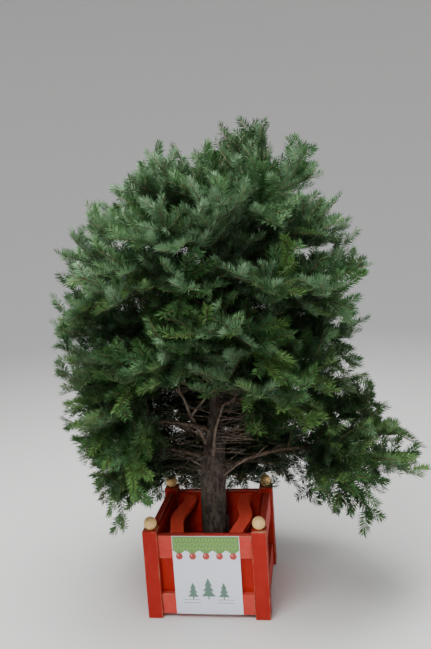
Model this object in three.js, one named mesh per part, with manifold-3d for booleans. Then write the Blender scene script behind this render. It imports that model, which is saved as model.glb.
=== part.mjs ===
// A cut Christmas fir in a red wooden box stand. Millimetres, +Z up, origin under the middle of the stand's
// floor. +X is the viewer's right and -Y faces the viewer. The tree leans to the right, as it was held when
// it was set down.
import * as THREE from "three";
import { mergeVertices } from "three/addons/utils/BufferGeometryUtils.js";
import Module from "manifold-3d";

const wasm = await Module();
wasm.setup();

const GAP = 0.3;

// Stand: four posts with ball finials, two rails and a panel on each side, a floor with a socket, and two
// wavy boards.
const STAND_WIDTH = 374;
const POST_WIDTH = 45;
const POST_HEIGHT = 281;
const POST_CHAMFER = 3;
const BALL_RADIUS = 19.5;
const BALL_FOOT_RADIUS = 8;
const BALL_SIDES = 10;
const RAIL_RECESS = 8;
const RAIL_THICKNESS = 20;
const TOP_RAIL = { bottom: 193, top: 265 };
const BOTTOM_RAIL = { bottom: 12, top: 77 };
const PANEL_THICKNESS = 10;
const PANEL = { bottom: 20, top: 262 };
const FLOOR_THICKNESS = 18;
const SOCKET_WIDTH = 132;
const SOCKET_HEIGHT = 58;
const SOCKET_CLEARANCE = 2.5;
const SOCKET_SEGMENTS = 7;
const WAVY_BOARD = { top: 256, thickness: 18, width: 42, fromMiddle: 101 };
const WAVE = { depth: 9, length: 250, at: -20 };
const CARD = { width: 204, bottom: 14, thickness: 1.5, offset: 3 };

// Trunk: straight in the stand, then leaning more and more to the right, thick at the foot.
const TRUNK_TOP = 1395;
const LEADER_TIP = 1478;
const LEAN_FROM = 250;
const LEAN_AT_TIP = 203;
const LEAN_POWER = 1.6;
const TRUNK_OFFSET = 6;
const TRUNK_TIP_RADIUS = 3;
const TRUNK_SHAFT_RADIUS = 25;
const TRUNK_TAPER_FROM = 300;
const TRUNK_TAPER_POWER = 0.9;
const FLARE_RADIUS = 13;
const FLARE_HEIGHT = 500;
const FLARE_SOFTNESS = 35;
const TRUNK_SIDES = 12;
const TRUNK_HEIGHTS = [300, 420, 470, 520, 580, 700, 850, 1000, 1150];

// Crown, from the foot up: each whorl's feet on the trunk, its first azimuth and step in degrees, and how far
// out and how high its tips end on the right, back, left and front. The rise is the slope at the foot. A limb
// is the share of a bough that shows bare; the others bear foliage straight from the trunk.
const WHORLS = [
  {
    name: "lowest",
    height: 402,
    first: -12,
    step: 71,
    count: 4,
    reach: { right: 690, back: 440, left: 365, front: 420 },
    tips: { right: 450, back: 215, left: 430, front: 440 },
    rise: 36,
    limb: 0.34,
  },
  {
    name: "low",
    height: 505,
    first: 20,
    step: 68,
    count: 4,
    reach: { right: 600, back: 460, left: 450, front: 440 },
    tips: { right: 575, back: 480, left: 620, front: 560 },
    rise: 30,
    limb: 0.34,
  },
  {
    name: "middle",
    height: 628,
    first: -54,
    step: 90,
    count: 4,
    reach: { right: 500, back: 480, left: 460, front: 440 },
    tips: { right: 690, back: 730, left: 770, front: 800 },
    rise: 28,
    limb: 0,
  },
  {
    name: "wide",
    height: 770,
    first: 14,
    step: 90,
    count: 4,
    reach: { right: 515, back: 465, left: 455, front: 450 },
    tips: { right: 810, back: 910, left: 910, front: 860 },
    rise: 30,
    limb: 0,
  },
  {
    name: "high",
    height: 915,
    first: -20,
    step: 90,
    count: 4,
    reach: { right: 550, back: 430, left: 450, front: 420 },
    tips: { right: 950, back: 1070, left: 1040, front: 1030 },
    rise: 34,
    limb: 0,
  },
  {
    name: "upper",
    height: 1050,
    first: 20,
    step: 120,
    count: 3,
    reach: { right: 470, back: 380, left: 370, front: 370 },
    tips: { right: 1130, back: 1210, left: 1150, front: 1180 },
    rise: 38,
    limb: 0,
  },
  {
    name: "top",
    height: 1170,
    first: -40,
    step: 120,
    count: 3,
    reach: { right: 420, back: 260, left: 215, front: 240 },
    tips: { right: 1230, back: 1280, left: 1220, front: 1240 },
    rise: 42,
    limb: 0,
  },
];
const SEED = { first: 1000, step: 77 };
const AZIMUTH_JITTER = 10;
const STAGGER = { foot: 24, tip: 46 };
const STEM_END = 0.84;
const END_SPRAY = { root: 0.01, past: 0.01 };
const BARE_SHARE = { fromTrunk: 0.22, afterLimb: 0.03 };
const PATH_STEPS = 16;
const TURN_SHARE = 0.46;
const FORK = { start: 0.18, afterLimb: 0.06, spread: 0.31, reach: 0.94, tilt: 30, counter: 46, turn: 0.42 };
const FORK_BARE = 0.2;
const BOUGH_SIDES = 6;
const BOUGH_STEPS = 3;
const BOUGH_RADIUS = [9.5, 6.5];
const STEM_RADIUS = [6.5, 3.4];
const FORK_RADIUS = [5, 3];
const STEM_TO_TRUNK = 0.42;
const CORE_SIDES = { stem: 4, fork: 3 };
const CORE_WIDEST = 46;
const CORE_ROOM = 0.42;
const CORE_PROFILE = [
  { share: 0, fullness: 0 },
  { share: 0.22, fullness: 0 },
  { share: 0.46, fullness: 1 },
  { share: 0.78, fullness: 0.8 },
  { share: 1.06, fullness: 0 },
];
const SPRAY_SPACING = { stem: 125, fork: 170 };
const STATION = { start: 0.4, rollLead: 500, jitter: 0.2 };
const SPRAY_ANGLES = { foot: 62, tip: 42 };
const SPRAY_JITTER = { splay: 12, roll: 24, shortest: 0.88, longest: 1.08 };
const LIFT = { from: 500, to: 1200, low: -0.12, high: 0.6 };
const SPRAY_LENGTHS = { share: 0.16, least: 112, most: 175 };
const SPRAY_WIDTH = 0.36;
const SPRAY_WIDEST = 52;
const SPRAY_IN_CORE = 0.5;
const SPRAY_BARE = { least: 10, pastCore: 0.5 };
const SPRAY_TOOTH = { sweep: 1.05, lastSweep: 0.6, lastReach: 0.66 };
const SPRAY_SAG = 0.06;
const STEM_ROLLS = [[18, 166], [-88, 34], [90]];
const FORK_ROLLS = {
  left: [[100], [32]],
  right: [[100], [146]],
};
const TOP_SPRAY = 0.72;
const LONG_SPRAY = 98;
const SPRAY_RIB = 3;
const SPRAY_ROOT = 1.6;
const SPACE_OVERLAP = 30;
const CLEARANCE = 2 * GAP;
const SHORTER = [1, 0.82, 0.66, 0.5];

const DEGREE = Math.PI / 180;

const PAINT = new THREE.MeshStandardMaterial({ color: 0xb8281c, roughness: 0.55 });
const PANEL_PAINT = new THREE.MeshStandardMaterial({ color: 0x981a12, roughness: 0.6 });
const BARE_WOOD = new THREE.MeshStandardMaterial({ color: 0xd8c08a, roughness: 0.5 });
const CARD_STOCK = new THREE.MeshStandardMaterial({ color: 0xe4e8ee, roughness: 0.5 });
const BARK = new THREE.MeshStandardMaterial({ color: 0x5a4a40, roughness: 0.9 });
const TWIG_BARK = new THREE.MeshStandardMaterial({ color: 0x4c3a2c, roughness: 0.9 });
const NEEDLES = new THREE.MeshStandardMaterial({ color: 0x2f5a32, roughness: 0.6 });

const tree = new THREE.Group();

// Numbers from 0 to 1 from a seed, always the same.
function seeded(seed) {
  let state = seed >>> 0;
  return () => {
    state = (Math.imul(state, 1664525) + 1013904223) >>> 0;
    return state / 4294967296;
  };
}

const mix = (a, b, t) => a + (b - a) * t;
const vector = (x, y, z) => new THREE.Vector3(x, y, z);

function solid(positions, triangles) {
  const vertProperties = new Float32Array(positions);
  const triVerts = new Uint32Array(triangles);
  return new wasm.Manifold(new wasm.Mesh({ numProp: 3, vertProperties, triVerts }));
}

function solidOf(geometry) {
  const bare = geometry.clone();
  bare.deleteAttribute("normal");
  bare.deleteAttribute("uv");
  const merged = mergeVertices(bare, 1e-4);
  return solid(merged.attributes.position.array, merged.index.array);
}

function add(name, made, material) {
  const mesh = made.getMesh();
  const geometry = new THREE.BufferGeometry();
  geometry.setAttribute("position", new THREE.BufferAttribute(Float32Array.from(mesh.vertProperties), 3));
  geometry.setIndex(new THREE.BufferAttribute(Uint32Array.from(mesh.triVerts), 1));
  geometry.computeVertexNormals();
  const node = new THREE.Mesh(geometry, material);
  node.name = name;
  tree.add(node);
  return made;
}

function box(width, depth, bottom, top, x, y) {
  const geometry = new THREE.BoxGeometry(width, depth, top - bottom);
  geometry.translate(x, y, (bottom + top) / 2);
  return solidOf(geometry);
}

// A closed tube through rings of points, each ring the same number of points, with flat ends.
function loft(rings) {
  const sides = rings[0].length;
  const last = (rings.length - 1) * sides;
  const triangles = [];
  for (let r = 0; r < rings.length - 1; r++)
    for (let i = 0; i < sides; i++) {
      const a = r * sides + i;
      const b = r * sides + ((i + 1) % sides);
      triangles.push(a, b, b + sides, a, b + sides, a + sides);
    }
  for (let i = 1; i < sides - 1; i++) {
    triangles.push(0, i + 1, i);
    triangles.push(last, last + i, last + i + 1);
  }
  return solid(
    rings.flat().flatMap((p) => [p.x, p.y, p.z]),
    triangles,
  );
}

// A ring of points round a centre, in the plane square to a direction.
function ring(centre, direction, radius, sides) {
  const side = vector(0, 0, 1).cross(direction);
  if (side.length() < 0.05) side.set(0, 1, 0).cross(direction);
  side.normalize();
  const up = direction.clone().cross(side).normalize();
  return Array.from({ length: sides }, (_, i) => {
    const a = (i / sides) * 2 * Math.PI;
    return centre
      .clone()
      .addScaledVector(side, radius * Math.cos(a))
      .addScaledVector(up, radius * Math.sin(a));
  });
}

// A tapering limb along part of a path.
function limb(path, from, to, steps, radii, sides) {
  return loft(
    Array.from({ length: steps + 1 }, (_, i) => {
      const share = mix(from, to, i / steps);
      return ring(along(path, share), heading(path, share), mix(radii[0], radii[1], i / steps), sides);
    }),
  );
}

// Stand
const halfStand = STAND_WIDTH / 2;
const railOuter = halfStand - RAIL_RECESS;
const panelOuter = railOuter - RAIL_THICKNESS - GAP;
const panelInner = panelOuter - PANEL_THICKNESS;
const postInner = halfStand - POST_WIDTH;
const railLength = 2 * (postInner - GAP);

function makeStand() {
  const parts = [];
  const corners = [
    ["front_left", -1, -1],
    ["front_right", 1, -1],
    ["back_left", -1, 1],
    ["back_right", 1, 1],
  ];
  const square = (half, z, x, y) => [
    vector(x - half, y - half, z),
    vector(x + half, y - half, z),
    vector(x + half, y + half, z),
    vector(x - half, y + half, z),
  ];
  for (const [place, sx, sy] of corners) {
    const x = sx * (halfStand - POST_WIDTH / 2);
    const y = sy * (halfStand - POST_WIDTH / 2);
    const half = POST_WIDTH / 2;
    const post = loft([
      square(half, 0, x, y),
      square(half, POST_HEIGHT - POST_CHAMFER, x, y),
      square(half - POST_CHAMFER, POST_HEIGHT, x, y),
    ]);
    parts.push(add("post_" + place, post, PAINT));
    parts.push(add("ball_" + place, ballFinial(x, y), BARE_WOOD));
  }
  const sides = [
    ["front", 0],
    ["right", 1],
    ["back", 2],
    ["left", 3],
  ];
  for (const [place, turns] of sides) {
    const turned = (made) => made.rotate([0, 0, 90 * turns]);
    const railY = -(railOuter - RAIL_THICKNESS / 2);
    const panelY = -(panelOuter - PANEL_THICKNESS / 2);
    const topRail = box(railLength, RAIL_THICKNESS, TOP_RAIL.bottom, TOP_RAIL.top, 0, railY);
    const bottomRail = box(railLength, RAIL_THICKNESS, BOTTOM_RAIL.bottom, BOTTOM_RAIL.top, 0, railY);
    const panel = box(railLength, PANEL_THICKNESS, PANEL.bottom, PANEL.top, 0, panelY);
    parts.push(add("top_rail_" + place, turned(topRail), PAINT));
    parts.push(add("bottom_rail_" + place, turned(bottomRail), PAINT));
    parts.push(add("panel_" + place, turned(panel), PANEL_PAINT));
  }
  parts.push(add("stand_floor", standFloor(), PAINT));
  parts.push(add("wavy_board_left", wavyBoard(-1), PAINT));
  parts.push(add("wavy_board_right", wavyBoard(1), PAINT));
  const cardY = -(railOuter + GAP + CARD.thickness / 2);
  const card = box(CARD.width, CARD.thickness, CARD.bottom, TOP_RAIL.top, CARD.offset, cardY);
  parts.push(add("front_card", card, CARD_STOCK));
  return parts;
}

// A wooden ball with a small flat foot on the post's top.
function ballFinial(x, y) {
  const footAngle = Math.asin(BALL_FOOT_RADIUS / BALL_RADIUS);
  const steps = BALL_SIDES / 2;
  const profile = [new THREE.Vector2(0, 0)];
  const drop = BALL_RADIUS * Math.cos(footAngle);
  for (let i = 0; i < steps; i++) {
    const a = mix(footAngle, Math.PI, i / steps);
    profile.push(new THREE.Vector2(BALL_RADIUS * Math.sin(a), drop - BALL_RADIUS * Math.cos(a)));
  }
  profile.push(new THREE.Vector2(0, drop + BALL_RADIUS));
  const geometry = new THREE.LatheGeometry(profile, BALL_SIDES);
  geometry.rotateX(Math.PI / 2);
  geometry.translate(x, y, POST_HEIGHT + GAP);
  return facingOut(solidOf(geometry));
}

function facingOut(made) {
  if (made.volume() > 0) return made;
  const mesh = made.getMesh();
  const turned = Array.from(mesh.triVerts).map((_, i, all) => all[i - (i % 3) + (2 - (i % 3))]);
  return solid(mesh.vertProperties, turned);
}

// Floor board with its corners notched round the posts, and a square socket round the trunk's foot.
function standFloor() {
  const half = panelInner - GAP;
  const notch = postInner - GAP;
  const plan = new THREE.Shape();
  const points = [
    [notch, -half],
    [notch, -notch],
    [half, -notch],
    [half, notch],
    [notch, notch],
    [notch, half],
    [-notch, half],
    [-notch, notch],
    [-half, notch],
    [-half, -notch],
    [-notch, -notch],
    [-notch, -half],
  ];
  points.forEach(([x, y], i) => (i ? plan.lineTo(x, y) : plan.moveTo(x, y)));
  const board = solidOf(new THREE.ExtrudeGeometry(plan, { depth: FLOOR_THICKNESS, bevelEnabled: false }));
  const wall = SOCKET_WIDTH / 2;
  const collar = new THREE.Shape();
  collar.moveTo(-wall, -wall).lineTo(wall, -wall).lineTo(wall, wall).lineTo(-wall, wall);
  const hole = new THREE.Path();
  hole.absarc(TRUNK_OFFSET, 0, trunkRadius(0) + SOCKET_CLEARANCE, 0, 2 * Math.PI, true);
  collar.holes.push(hole);
  const extruded = { depth: SOCKET_HEIGHT, bevelEnabled: false, curveSegments: SOCKET_SEGMENTS };
  const socket = new THREE.ExtrudeGeometry(collar, extruded);
  socket.translate(0, 0, FLOOR_THICKNESS / 2);
  return board.add(solidOf(socket));
}

// A level board from front to back whose two edges follow one wave, bowed out beside the trunk.
function wavyBoard(side) {
  const reach = panelInner - GAP;
  const steps = 12;
  const middle = (y) => {
    const turn = (2 * Math.PI * (y - WAVE.at)) / WAVE.length;
    return side * (WAVY_BOARD.fromMiddle + WAVE.depth * Math.cos(turn));
  };
  const plan = new THREE.Shape();
  const edge = (offset, from, to) =>
    Array.from({ length: steps + 1 }, (_, i) => {
      const y = mix(from, to, i / steps);
      return [middle(y) + offset, y];
    });
  const half = WAVY_BOARD.width / 2;
  const inFromPosts = Math.min(reach, postInner + POST_WIDTH);
  const outline = [...edge(half, -inFromPosts, inFromPosts), ...edge(-half, inFromPosts, -inFromPosts)];
  outline.forEach(([x, y], i) => (i ? plan.lineTo(x, y) : plan.moveTo(x, y)));
  const geometry = new THREE.ExtrudeGeometry(plan, { depth: WAVY_BOARD.thickness, bevelEnabled: false });
  geometry.translate(0, 0, WAVY_BOARD.top - WAVY_BOARD.thickness);
  return solidOf(geometry);
}

// Trunk
function trunkAxis(z) {
  const up = Math.max(z - LEAN_FROM, 0) / (LEADER_TIP - LEAN_FROM);
  return vector(TRUNK_OFFSET + LEAN_AT_TIP * up ** LEAN_POWER, 0, z);
}

function trunkRadius(z) {
  const down = 1 - Math.max(z - TRUNK_TAPER_FROM, 0) / (TRUNK_TOP - TRUNK_TAPER_FROM);
  const flare = FLARE_RADIUS / (1 + Math.exp((z - FLARE_HEIGHT) / FLARE_SOFTNESS));
  return TRUNK_TIP_RADIUS + TRUNK_SHAFT_RADIUS * Math.max(down, 0) ** TRUNK_TAPER_POWER + flare;
}

function trunkSolid(extra) {
  const foot = FLOOR_THICKNESS + GAP;
  const heights = [foot, ...TRUNK_HEIGHTS, TRUNK_TOP + extra];
  return loft(
    heights.map((z) =>
      Array.from({ length: TRUNK_SIDES }, (_, i) => {
        const a = (i / TRUNK_SIDES) * 2 * Math.PI;
        const r = trunkRadius(z) + extra;
        const centre = trunkAxis(z);
        return vector(centre.x + r * Math.cos(a), centre.y + r * Math.sin(a), z);
      }),
    ),
  );
}

// The crown's outline at an azimuth: quarter ellipses between its four reaches, and its height between four
// heights.
function outline(whorl, azimuth) {
  const [x, y] = [Math.cos(azimuth), Math.sin(azimuth)];
  const across = x > 0 ? "right" : "left";
  const deep = y > 0 ? "back" : "front";
  const reach = 1 / Math.hypot(x / whorl.reach[across], y / whorl.reach[deep]);
  const height = mix(whorl.tips[deep], whorl.tips[across], x ** 2);
  return vector(reach * x, reach * y, height);
}

// A bough's middle line: one curve from the trunk's axis, setting out at the whorl's rise, to the crown's
// outline. Every other bough of a whorl is raised a little, and the ones between are lowered.
function boughPath(whorl, azimuth, raised) {
  const foot = trunkAxis(whorl.height + raised * STAGGER.foot);
  const tip = outline(whorl, azimuth);
  tip.z += raised * STAGGER.tip;
  const across = vector(tip.x - foot.x, tip.y - foot.y, 0);
  const turn = foot.clone().addScaledVector(across, TURN_SHARE);
  turn.z += across.length() * TURN_SHARE * Math.tan(whorl.rise * DEGREE);
  return curve(foot, turn, tip);
}

function curve(foot, turn, tip) {
  const points = new THREE.QuadraticBezierCurve3(foot, turn, tip).getPoints(PATH_STEPS);
  const length = points.slice(1).reduce((sum, p, i) => sum + p.distanceTo(points[i]), 0);
  return { points, length };
}

function along(path, share) {
  const at = Math.min(Math.max(share, 0), 1) * PATH_STEPS;
  const i = Math.min(Math.floor(at), PATH_STEPS - 1);
  return path.points[i].clone().lerp(path.points[i + 1], at - i);
}

function heading(path, share) {
  const step = 0.5 / PATH_STEPS;
  return along(path, share + step)
    .sub(along(path, share - step))
    .normalize();
}

// A fork leaves the bough along its own heading and curves to one side, to a tip a little inside the outline.
// One fork tilts up and the other down, and both lie on the other side of the whorl's level from their
// bough's tip.
function forkPath(whorl, azimuth, raised, side, path) {
  const start = whorl.limb > 0 ? whorl.limb + FORK.afterLimb : FORK.start;
  const foot = along(path, start);
  const tip = outline(whorl, azimuth + side * FORK.spread * whorl.step * DEGREE);
  tip.x *= FORK.reach;
  tip.y *= FORK.reach;
  tip.z += side * FORK.tilt - raised * FORK.counter;
  const turn = foot.clone().addScaledVector(heading(path, start), FORK.turn * foot.distanceTo(tip));
  return curve(foot, turn, tip);
}

function growBoughs() {
  const boughs = [];
  for (const whorl of WHORLS)
    for (let i = 0; i < whorl.count; i++) {
      const random = seeded(SEED.first + SEED.step * boughs.length);
      const azimuth = (whorl.first + whorl.step * i + AZIMUTH_JITTER * (random() - 0.5)) * DEGREE;
      const raised = i % 2 ? 1 : -1;
      const path = boughPath(whorl, azimuth, raised);
      const forks = [-1, 1].map((side) => forkPath(whorl, azimuth, raised, side, path));
      boughs.push({ name: whorl.name + "_" + (i + 1), whorl, random, path, forks });
    }
  return boughs;
}

function distanceToPath(point, path) {
  let nearest = Infinity;
  const line = new THREE.Line3();
  const found = vector(0, 0, 0);
  for (let i = 2; i < PATH_STEPS; i++) {
    line.set(path.points[i], path.points[i + 1]);
    line.closestPointToPoint(point, true, found);
    nearest = Math.min(nearest, found.distanceTo(point));
  }
  return nearest;
}

function distanceToBough(point, bough) {
  return Math.min(...[bough.path, ...bough.forks].map((path) => distanceToPath(point, path)));
}

// A point is in a bough's space where that bough with its forks is the nearest one, or nearly so.
function inOwnSpace(point, own, boughs) {
  const limit = distanceToBough(point, own) - SPACE_OVERLAP;
  return boughs.every((b) => b === own || distanceToBough(point, b) > limit);
}

// A spray of needles along +X: a three-sided rib, bare at its root, with three rows of flat teeth swept
// forward, and a pointed end. Its middle sags by a share of its length.
function sprayPoints(length, bare, rows, sag) {
  const reach = Math.min(length * SPRAY_WIDTH, SPRAY_WIDEST);
  const stretch = (length - bare) / rows;
  const start = (j) => (j ? bare + (j - 1) * stretch : 0);
  const bend = (x) => -sag * length * (x / length) ** 2;
  const round = (x, radius, turn) => [x, radius * Math.sin(turn), radius * Math.cos(turn) + bend(x)];
  const points = [];
  for (let j = 0; j <= rows; j++)
    for (let k = 0; k < 3; k++)
      points.push(round(start(j), j ? SPRAY_RIB : SPRAY_ROOT, (k * 2 * Math.PI) / 3));
  for (let j = 1; j <= rows; j++)
    for (let k = 0; k < 3; k++) {
      const last = j === rows;
      const x = start(j) + (last ? SPRAY_TOOTH.lastSweep : SPRAY_TOOTH.sweep) * stretch;
      const out = last && rows > 1 ? SPRAY_TOOTH.lastReach * reach : reach;
      points.push(round(x, out, ((2 * k + 1) * Math.PI) / 3));
    }
  points.push([length, 0, bend(length)]);
  return points;
}

function sprayTriangles(rows) {
  const rib = (j, k) => 3 * j + (k % 3);
  const tooth = (j, k) => 3 * (rows + 1) + 3 * (j - 1) + k;
  const end = 3 * (2 * rows + 1);
  const faces = [[rib(0, 0), rib(0, 2), rib(0, 1)]];
  for (let k = 0; k < 3; k++) {
    faces.push([rib(0, k), rib(0, k + 1), rib(1, k + 1)], [rib(0, k), rib(1, k + 1), rib(1, k)]);
    for (let j = 1; j < rows; j++) {
      const tip = tooth(j, k);
      faces.push([rib(j, k), rib(j, k + 1), tip], [rib(j, k + 1), rib(j + 1, k + 1), tip]);
      faces.push([rib(j + 1, k + 1), rib(j + 1, k), tip], [rib(j + 1, k), rib(j, k), tip]);
    }
    const [left, right] = [rib(rows, k), rib(rows, k + 1)];
    const last = tooth(rows, k);
    faces.push([left, right, last], [right, end, last], [end, left, last]);
  }
  return faces.flat();
}

// Places a spray: its foot, the way it points and the side that faces up. A short one has a single row of
// teeth.
function placeSpray({ foot, direction, up, bare, sag }, length) {
  const rows = length - bare > LONG_SPRAY ? 2 : 1;
  const side = up.clone().cross(direction).normalize();
  const normal = direction.clone().cross(side).normalize();
  const points = sprayPoints(length, bare, rows, sag).map(([x, y, z]) =>
    foot.clone().addScaledVector(direction, x).addScaledVector(side, y).addScaledVector(normal, z),
  );
  return { points, rows };
}

function spraySolid({ points, rows }) {
  return facingOut(
    solid(
      points.flatMap((p) => [p.x, p.y, p.z]),
      sprayTriangles(rows),
    ),
  );
}

// A spray's direction, drawn down a little low in the crown and up towards the light high in it.
function lifted(direction, z) {
  const t = Math.min(Math.max((z - LIFT.from) / (LIFT.to - LIFT.from), 0), 1);
  direction.z += mix(LIFT.low, LIFT.high, t);
  return direction.normalize();
}

// The sprays of a stem or fork by its bough's seeded draws: at each station one or two, splayed from the stem
// and rolled about it by the station's rolls, shorter towards its end, and one more that ends the stem. They
// start inside the core, and their first teeth stand out of it.
function spraysOn(path, from, spacing, rolls, side, random, core) {
  const sprays = [];
  const leafy = (STEM_END - from) * path.length;
  const stations = Math.max(2, Math.round(leafy / spacing));
  for (let i = 0; i < stations; i++)
    for (const roll of rolls[i % rolls.length]) {
      const t = (i + STATION.start + roll / STATION.rollLead + STATION.jitter * random()) / stations;
      const share = mix(from, STEM_END, t);
      const forward = heading(path, share);
      const level = vector(0, 0, 1).cross(forward).normalize();
      const up = forward.clone().cross(level).normalize();
      const angle = mix(SPRAY_ANGLES.foot, SPRAY_ANGLES.tip, t);
      const splay = (angle + SPRAY_JITTER.splay * (random() - 0.5)) * DEGREE;
      const turn = (side * roll + SPRAY_JITTER.roll * (random() - 0.5)) * DEGREE;
      const away = level.clone().multiplyScalar(Math.sin(turn)).addScaledVector(up, Math.cos(turn));
      const direction = forward.clone().multiplyScalar(Math.cos(splay));
      direction.addScaledVector(away, Math.sin(splay));
      const root = along(path, share);
      lifted(direction, root.z);
      const reach = SPRAY_LENGTHS.least + SPRAY_LENGTHS.share * leafy * (1 - t);
      const drawn = mix(SPRAY_JITTER.shortest, SPRAY_JITTER.longest, random());
      const beside = Math.abs(Math.sin(turn));
      const length = Math.min(reach, SPRAY_LENGTHS.most) * drawn * mix(TOP_SPRAY, 1, beside);
      const face = away.clone().multiplyScalar(-Math.cos(splay)).addScaledVector(forward, Math.sin(splay));
      const facing = face.multiplyScalar(Math.abs(Math.cos(turn))).addScaledVector(up, beside);
      const thick = core(path, share);
      const foot = root.addScaledVector(direction, SPRAY_IN_CORE * thick);
      const bare = Math.max(SPRAY_BARE.least, SPRAY_BARE.pastCore * thick);
      sprays.push({ foot, direction, up: facing, length, bare, sag: SPRAY_SAG });
    }
  const forward = heading(path, STEM_END);
  const level = vector(0, 0, 1).cross(forward).normalize();
  sprays.push({
    foot: along(path, STEM_END - END_SPRAY.root),
    direction: forward,
    up: forward.clone().cross(level),
    length: (1 + END_SPRAY.past - STEM_END) * path.length,
    bare: SPRAY_BARE.least,
    sag: 0,
  });
  return sprays;
}

// A stem or fork with the dense core of its mass: thin at its foot and tip, and between them nowhere thicker
// than its share of the room to the next bough.
function cored(path, start, radii, sides, bough, boughs) {
  return loft(
    CORE_PROFILE.map(({ share, fullness }) => {
      const at = mix(start, STEM_END, share);
      const centre = along(path, at);
      const core = fullness * thickestCore(centre, bough, boughs);
      return ring(centre, heading(path, at), Math.max(core, mix(radii[0], radii[1], share)), sides);
    }),
  );
}

function coreFullness(share) {
  const after = CORE_PROFILE.findIndex((ring) => ring.share > share);
  const [low, high] = [CORE_PROFILE[after - 1], CORE_PROFILE[after]];
  return mix(low.fullness, high.fullness, (share - low.share) / (high.share - low.share));
}

function thickestCore(point, bough, boughs) {
  const room = Math.min(...boughs.filter((b) => b !== bough).map((b) => distanceToBough(point, b)));
  return Math.min(CORE_WIDEST, CORE_ROOM * room);
}

// A mass's stem with its two forks: it goes on from its bare limb, or from the trunk where it has none.
function stemOf(bough, boughs) {
  const { limb: bareShare } = bough.whorl;
  const { stem: sides, fork: forkSides } = CORE_SIDES;
  const forks = wasm.Manifold.union(
    bough.forks.map((fork) => cored(fork, 0, FORK_RADIUS, forkSides, bough, boughs)),
  );
  if (bareShare > 0) {
    const start = bareShare + GAP / bough.path.length;
    return cored(bough.path, start, STEM_RADIUS, sides, bough, boughs).add(forks);
  }
  const radii = [STEM_TO_TRUNK * trunkRadius(bough.whorl.height), STEM_RADIUS[1]];
  return cored(bough.path, 0, radii, sides, bough, boughs).add(forks).subtract(grownTrunk);
}

// One mass of foliage: a stem with its sprays fused on. A spray that would leave the bough's space is made
// shorter, and one that would still leave it, or touch a limb, the stand or another mass, is skipped.
function foliage(bough, boughs, solids) {
  const obstacles = [...solids, ...boughs.filter((b) => b !== bough && !b.mass).map((b) => b.stem)];
  const { limb: bareShare } = bough.whorl;
  const from = bareShare > 0 ? bareShare + BARE_SHARE.afterLimb : BARE_SHARE.fromTrunk;
  const core = (path, share) => thickestCore(along(path, share), bough, boughs) * coreFullness(share);
  const sprays = spraysOn(bough.path, from, SPRAY_SPACING.stem, STEM_ROLLS, 1, bough.random, core);
  bough.forks.forEach((fork, i) => {
    const [rolls, side] = i ? [FORK_ROLLS.left, 1] : [FORK_ROLLS.right, -1];
    sprays.push(...spraysOn(fork, FORK_BARE, SPRAY_SPACING.fork, rolls, side, bough.random, core));
  });
  const parts = [bough.stem];
  for (const spray of sprays) {
    const made = fitSpray(spray, bough, boughs, obstacles);
    if (made) parts.push(made);
  }
  bough.mass = onePiece(wasm.Manifold.union(parts));
  return bough.mass;
}

function fitSpray(spray, bough, boughs, obstacles) {
  for (const share of SHORTER) {
    const placed = placeSpray(spray, spray.length * share);
    if (!placed.points.slice(3).every((p) => inOwnSpace(p, bough, boughs))) continue;
    const made = spraySolid(placed);
    if (obstacles.every((o) => made.minGap(o, 1) > CLEARANCE)) return made;
  }
  return null;
}

function onePiece(made) {
  const bodies = made.decompose();
  return bodies.reduce((best, b) => (b.volume() > best.volume() ? b : best));
}

// The leader: the trunk's last shoot, as one upright spray.
function leader() {
  const foot = trunkAxis(TRUNK_TOP + CLEARANCE);
  const direction = trunkAxis(LEADER_TIP).sub(foot);
  const length = direction.length();
  direction.normalize();
  const up = vector(0, -1, 0);
  return spraySolid(placeSpray({ foot, direction, up, bare: SPRAY_BARE.least, sag: 0 }, length));
}

const stand = makeStand();
const trunk = add("trunk", trunkSolid(0), BARK);
const grownTrunk = trunkSolid(GAP);
const boughs = growBoughs();
const obstacles = [...stand, trunk];
for (const bough of boughs.filter((b) => b.whorl.limb > 0)) {
  const made = limb(bough.path, 0, bough.whorl.limb, BOUGH_STEPS, BOUGH_RADIUS, BOUGH_SIDES);
  obstacles.push(add("bough_" + bough.name, onePiece(made.subtract(grownTrunk)), TWIG_BARK));
}
obstacles.push(add("foliage_leader", leader(), NEEDLES));
for (const bough of boughs) bough.stem = stemOf(bough, boughs);
for (const bough of boughs) {
  const made = foliage(bough, boughs, obstacles);
  obstacles.push(add("foliage_" + bough.name, made, NEEDLES));
}

export default tree;
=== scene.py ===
import math

import bpy
import numpy as np
from mathutils import Matrix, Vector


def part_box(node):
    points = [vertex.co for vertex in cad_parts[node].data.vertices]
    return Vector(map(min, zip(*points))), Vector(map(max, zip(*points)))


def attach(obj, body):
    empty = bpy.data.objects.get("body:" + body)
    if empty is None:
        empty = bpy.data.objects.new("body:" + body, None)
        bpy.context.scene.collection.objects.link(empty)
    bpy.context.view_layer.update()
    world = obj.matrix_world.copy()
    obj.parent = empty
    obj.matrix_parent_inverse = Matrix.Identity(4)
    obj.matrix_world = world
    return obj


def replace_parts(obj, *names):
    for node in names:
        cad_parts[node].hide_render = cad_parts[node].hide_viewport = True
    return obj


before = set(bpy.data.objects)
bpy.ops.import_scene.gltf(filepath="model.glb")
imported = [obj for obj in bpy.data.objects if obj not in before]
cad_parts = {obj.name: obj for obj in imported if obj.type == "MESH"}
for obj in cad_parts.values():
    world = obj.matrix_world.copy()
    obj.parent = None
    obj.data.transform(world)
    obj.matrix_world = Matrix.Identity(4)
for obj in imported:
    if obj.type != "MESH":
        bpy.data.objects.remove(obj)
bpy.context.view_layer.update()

rng = np.random.default_rng(7)
UPRIGHT = np.array([[0, 0, 1.0]])

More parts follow.
